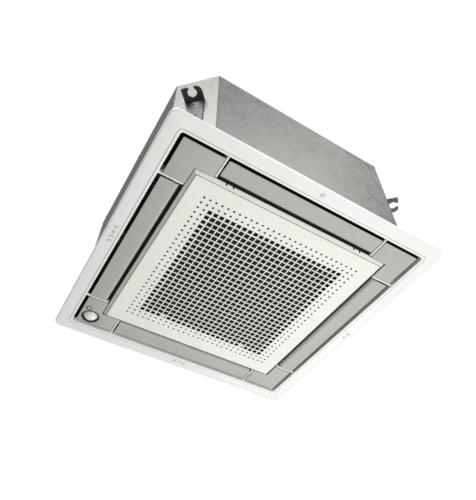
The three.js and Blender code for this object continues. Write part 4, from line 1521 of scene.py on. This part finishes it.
# ---------------------------------------------------------------- fan
@dataclass
class FanUnit:
    """The turbo fan between its hub plate and shroud, the bell mouth, the motor and the fan's nut."""

    radius: float = 152.0
    bottom: float = 64.0
    top: float = 198.5
    blades: int = 7
    blade_inner: float = 106.0
    blade_outer: float = 150.5
    blade_sweep: float = -34.0
    blade_curve: float = 1.3
    blade_taper: float = 0.5
    blade_steps: int = 12
    thickness: float = 3.0
    shaft: float = 5.3
    nut_radius: float = 10.0
    mouth_bottom: float = 26.5
    mouth_half: float = 178.0
    mouth_sheet: float = 2.2
    mouth_opening: float = 141.0
    flare: float = 22.0
    throat: float = 118.0
    throat_top: float = 74.0
    screw_out: float = 160.0
    mount_angles: tuple[float, ...] = (90.0, 210.0, 330.0)

    def blade(self) -> Form:
        """Makes one backward-curved blade that thins towards its outer edge.

        Returns:
            The blade, trimmed to the space between the hub plate and the shroud.
        """
        outline = []
        for way in (-1, 1):
            for i in range(self.blade_steps + 1):
                t = i / self.blade_steps if way < 0 else 1 - i / self.blade_steps
                out = self.blade_inner + (self.blade_outer - self.blade_inner) * t
                across = way * self.thickness / 2 * (1 - self.blade_taper * t)
                angle = math.radians(self.blade_sweep * t**self.blade_curve)
                cos, sin = math.cos(angle), math.sin(angle)
                outline.append((out * cos - across * sin, out * sin + across * cos))
        edge, foot = self.radius - 1, self.top - 1
        zone = [(100, 86), (123, 76), (131, 86), (edge, 93), (edge, foot), (96, foot), (88, 190)]
        return plate(outline, self.bottom, self.top).within(lathe(zone, 64))

    def fan(self) -> Form:
        """Makes the hub plate, the shroud and the blades."""
        radius, foot = self.radius, self.top - 2.4
        hub = lathe(
            [
                (self.shaft, 152), (16, 152), (22, 158), (58, 178), (92, foot), (radius, foot),
                (radius, self.top), (90, self.top), (56, 181), (18, 172), (self.shaft, 172),
            ],
            96,
        )
        shroud = lathe(
            [
                (122, self.bottom), (124, self.bottom), (125, 76), (133, 85.5), (radius, 92),
                (radius, 94.5), (131, 88), (122.5, 77),
            ],
            96,
        )
        blade = self.blade()
        blades = [blade.turned(i * math.tau / self.blades) for i in range(self.blades)]
        return Form().add(hub.soften_sharp(0.5), shroud.soften_sharp(0.4), *blades)

    def bell_mouth(self) -> Form:
        """Makes the square plate and the flare that leads the air into the fan."""
        low, half = self.mouth_bottom, self.mouth_half
        outside = self.flare + self.mouth_sheet
        middle = (self.throat + outside, low + outside)
        lip = [(self.throat + self.mouth_sheet, self.throat_top), (self.throat, self.throat_top)]
        flare = lathe([*arc(middle, self.flare, 270, 180, 12), *lip, *arc(middle, outside, 180, 270, 12)], 96)
        deck = block((-half, -half, low), (half, half, low + self.mouth_sheet)).soften(8.0, 6, along(2))
        return Form().add(deck.carved(rod(self.mouth_opening, (0, 0, low - 5), 20, sides=96)), flare)

    def motor(self) -> Form:
        """Makes the motor's shell with its shaft, a seam bead and three arms."""
        profile = [
            (0, 143.5), (4.6, 143.5), (5, 144), (5, 188), (24, 190), (56, 193.6), (59, 195), (60, 198),
            (60, 212), (58.8, 213), (58.8, 216), (60, 217), (60, 240), (58.5, 244.5), (54, 249),
            (50, 250.3), (20, 252), (0, 252),
        ]
        arm = block((40, -9, 246), (84, 9, 250)).soften(4.0, 5, ends(lambda at: at.x > 83.9))
        arms = [arm.turned(math.radians(angle)) for angle in self.mount_angles]
        return Form().add(lathe(profile, 64, closed=False), *arms)

    def build(self) -> None:
        """Builds the fan on its own body and the rest on the unit."""
        finish_piece("fan_wheel", self.fan(), FAN_PLASTIC, "fan", ["turbo_fan"])
        nut = hexagon(self.nut_radius, 145.5, 151.7).carved(rod(self.shaft, (0, 0, 140), 20))
        finish_piece("fan_lock_nut", nut, BRASS, "fan", ["fan_nut"])
        finish_piece("inlet_bell_mouth", self.bell_mouth(), BLACK_MOULDING, stands_for=["bell_mouth"])
        finish_piece("fan_motor_shell", self.motor(), MOTOR_SHELL, stands_for=["fan_motor"])
        screw = screw_head().turned(math.pi, "X").moved(z=self.mouth_bottom)
        ways = (-self.screw_out, self.screw_out)
        screws = Form().add(*(screw.moved(x, y) for x in ways for y in ways))
        finish_piece("bell_mouth_screws", screws, SCREW_STEEL)


# ---------------------------------------------------------------- pipe and drain ends
@dataclass
class ServicePorts:
    """The pipes' flare nuts, the plate that they come through and the drain's socket."""

    wall: float = 287.8
    plate_low: Point = (156.0, 102.0)
    plate_high: Point = (216.0, 188.0)
    plate_sheet: float = 2.2
    nut_start: float = 306.0
    nut_end: float = 338.0
    gas_pipe: float = 6.35
    liquid_pipe: float = 3.2
    drain_start: float = 260.0
    drain_end: float = 335.0
    drain_bore: float = 10.0
    drain_tube: float = 13.0

    def nut(self, radius: float, at: Point, pipe: float) -> Form:
        """Makes a flare nut over a pipe's end, closed by a cap.

        Args:
            radius: From its middle to a corner.
            at: Its place in Y and Z.
            pipe: The pipe's radius.

        Returns:
            The nut along X.
        """
        length = self.nut_end - self.nut_start
        body = hexagon(radius, 0, length).carved(rod(pipe + 0.3, (0, 0, -1), 17.3))
        core = rod(radius * 0.86, (0, 0, length - 8), 4, sides=48)
        groove = rod(radius + 1, (0, 0, length - 7), 1.2, sides=48).carved(core)
        return body.carved(groove).turned(math.pi / 2, "Y").moved(self.nut_start, *at)

    def cover_plate(self) -> Form:
        """Makes the pipe plate with a collar about each pipe."""
        wall = self.wall
        deck = block((wall, *self.plate_low), (wall + self.plate_sheet, *self.plate_high))
        deck.soften(5.0, 5, along(0))
        places = ((GAS_PLACE, 6.95), (LIQUID_PLACE, 3.8))
        holes = [rod(radius, (wall - 5, *at), 15, "X", 32) for at, radius in places]
        collars = []
        for at, radius in places:
            bore = rod(radius, (wall - 5, *at), 15, "X", 40)
            collars.append(rod(radius + 2.5, (wall + 1, *at), 3.2, "X", 40).carved(bore))
        head = screw_head().turned(math.pi / 2, "Y")
        corners = ((163, 181), (209, 109), (209, 181), (163, 140))
        screws = [head.moved(wall + self.plate_sheet, y, z) for y, z in corners]
        return Form().add(deck.carved(*holes), *collars, *screws)

    def drain_socket(self) -> Form:
        """Makes the drain's socket: a collar on the wall and a barbed end."""
        wall, start, end = self.wall, self.drain_start, self.drain_end
        bore, tube_radius = self.drain_bore, self.drain_tube
        barbs = [(tube_radius - 0.9 * (i % 2), end - 22 + 4 * i) for i in range(5)]
        profile = [
            (bore, start), (tube_radius, start), (tube_radius, wall), (19.4, wall), (20, wall + 0.6),
            (20, wall + 2.6), (19.4, wall + 3.2), (14, wall + 3.2), (tube_radius, wall + 4.2),
            *barbs, (12.2, end), (bore, end),
        ]
        x, z = DRAIN_PLACE
        return lathe(profile, 64).turned(-math.pi / 2, "X").moved(x, 0, z)

    def build(self) -> None:
        """Builds the nuts, the plate and the socket."""
        gas_nut = self.nut(14.0, GAS_PLACE, self.gas_pipe)
        liquid_nut = self.nut(9.5, LIQUID_PLACE, self.liquid_pipe)
        finish_piece("gas_nut", gas_nut, BRASS, stands_for=["gas_flare_nut"])
        finish_piece("liquid_nut", liquid_nut, BRASS, stands_for=["liquid_flare_nut"])
        finish_piece("pipe_cover_plate", self.cover_plate(), SOCKET_GREY, stands_for=["pipe_plate"])
        finish_piece("drain_spigot", self.drain_socket(), SOCKET_GREY, stands_for=["drain_socket"])


# ---------------------------------------------------------------- carried nodes
CARRIED: Mapping[Finish, Sequence[str]] = {
    WHITE_FOAM: ["foam_liner"],
    RUBBER: [*(f"motor_rubber_mount_{number}" for number in (1, 2, 3)), "drain_hose"],
    BLACK_MOULDING: ["drain_pump", "filter_frame"],
    FINS: ["heat_exchanger"],
    CASING_SHEET: ["coil_partition", "control_box", "control_box_lid"],
    COPPER: ["gas_header", "liquid_distributor", "gas_pipe", "liquid_pipe"],
    BLACK_FOAM: ["drain_pan"],
    WHITE_PANEL: ["pump_float", "terminal_block", *(f"flap_motor_{side.label}" for side in Side)],
    BOARD: ["circuit_board"],
    SEAL_FOAM: ["panel_gasket", "ceiling_seal"],
    BRACKET_PLATE: ["hinge_pin_left", "hinge_pin_right"],
    NET: ["filter_mesh"],
}


def dress_carried_nodes() -> None:
    """Gives each node that stays its finish."""
    for finish, names in CARRIED.items():
        for name in names:
            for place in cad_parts[name].material_slots:
                place.material = material_of(finish)


# ---------------------------------------------------------------- stage
@dataclass(frozen=True)
class SoftLamp:
    """A square area lamp: its place and aim in metres, its side and its power in watts."""

    name: str
    place: Place
    aim: Place
    size: float
    power: float

    def hang(self) -> None:
        """Hangs the lamp, unseen by the camera."""
        data = bpy.data.lights.new(self.name, "AREA")
        data.shape = "SQUARE"
        data.size = self.size
        data.energy = self.power
        made = bpy.data.objects.new(self.name, data)
        made.location = self.place
        made.rotation_euler = (Vector(self.aim) - Vector(self.place)).to_track_quat("-Z", "Y").to_euler()
        made.visible_camera = False
        bpy.context.scene.collection.objects.link(made)


# The key and the fill from below, and one for each bright face of the casing.
LAMPS = (
    SoftLamp("panel_key", (0.6, -1.2, -1.05), (0.0, 0.0, 0.0), 0.9, 12.6),
    SoftLamp("panel_fill", (0.75, 0.75, -1.0), (0.1, 0.1, 0.0), 0.9, 7.8),
    SoftLamp("chamfer_light", (-1.1, -0.8, 1.29), (-0.25, -0.25, 0.15), 0.9, 16.5),
    SoftLamp("front_light", (0.75, -1.5, 1.6), (0.0, -0.29, 0.15), 1.2, 15.0),
)


@dataclass
class Studio:
    """The pale floor, the soft lamps, the white surroundings and the camera, in metres."""

    camera_place: Place = (-0.4044, -0.6714, -0.7863)
    view: Place = (0.3364, 0.5564, 0.7596)
    lens: float = 36.39
    sensor: float = 36.0
    nearest: float = 0.01
    floor_height: float = -1.35
    floor_half: float = 4.0
    soft_light: float = 0.3
    seen_light: float = 1.0

    def world(self) -> None:
        """Makes the surroundings: white as seen and mirrored, softer as light."""
        world = bpy.data.worlds.new("surroundings")
        world.use_nodes = True
        bpy.context.scene.world = world
        graph = Graph(world.node_tree)
        ray = graph.node("ShaderNodeLightPath", output="Is Camera Ray")
        seen = ray.larger(ray.other("Is Glossy Ray")).larger(ray.other("Is Transmission Ray"))
        soft, white = (
            graph.node("ShaderNodeBackground", inputs={"Color": WHITE, "Strength": strength})
            for strength in (self.soft_light, self.seen_light)
        )
        mixed = graph.node("ShaderNodeMixShader", inputs={0: seen, 1: soft, 2: white})
        graph.node("ShaderNodeOutputWorld", inputs={"Surface": mixed})

    def floor(self) -> None:
        """Lays the plain pale floor."""
        form = Form()
        bmesh.ops.create_grid(form.mesh, x_segments=1, y_segments=1, size=self.floor_half)
        bmesh.ops.translate(form.mesh, vec=(0, 0, self.floor_height), verts=form.mesh.verts)
        mesh = bpy.data.meshes.new("floor")
        form.mesh.to_mesh(mesh)
        mesh.materials.append(material_of(MouldedPlastic("pale_floor", "", paint(232, 232, 230), 0.8)))
        made = bpy.data.objects.new("floor", mesh)
        bpy.context.scene.collection.objects.link(made)

    def camera(self) -> None:
        """Sets the camera at the photograph's viewing angle."""
        data = bpy.data.cameras.new("camera")
        data.lens = self.lens
        data.sensor_width = self.sensor
        data.sensor_fit = "AUTO"
        data.clip_start = self.nearest
        made = bpy.data.objects.new("camera", data)
        made.location = self.camera_place
        made.rotation_euler = Vector(self.view).to_track_quat("-Z", "Y").to_euler()
        bpy.context.scene.collection.objects.link(made)
        bpy.context.scene.camera = made

    def build(self) -> None:
        """Sets the whole stage."""
        bpy.context.scene.view_settings.view_transform = "Standard"
        self.world()
        self.floor()
        for lamp in LAMPS:
            lamp.hang()
        self.camera()


def main() -> None:
    """Builds the stage and the sub-assemblies in order."""
    logging.basicConfig(level=logging.INFO, format="%(message)s")
    for assembly in (
        Studio(), DecorationPanel(), OutletFlap(), CornerCovers(), SuctionGrille(), GrilleLatches(), Casing(),
        HangerBracket(), FanUnit(), ServicePorts(),
    ):
        assembly.build()
    dress_carried_nodes()


if __name__ == "__main__":
    main()
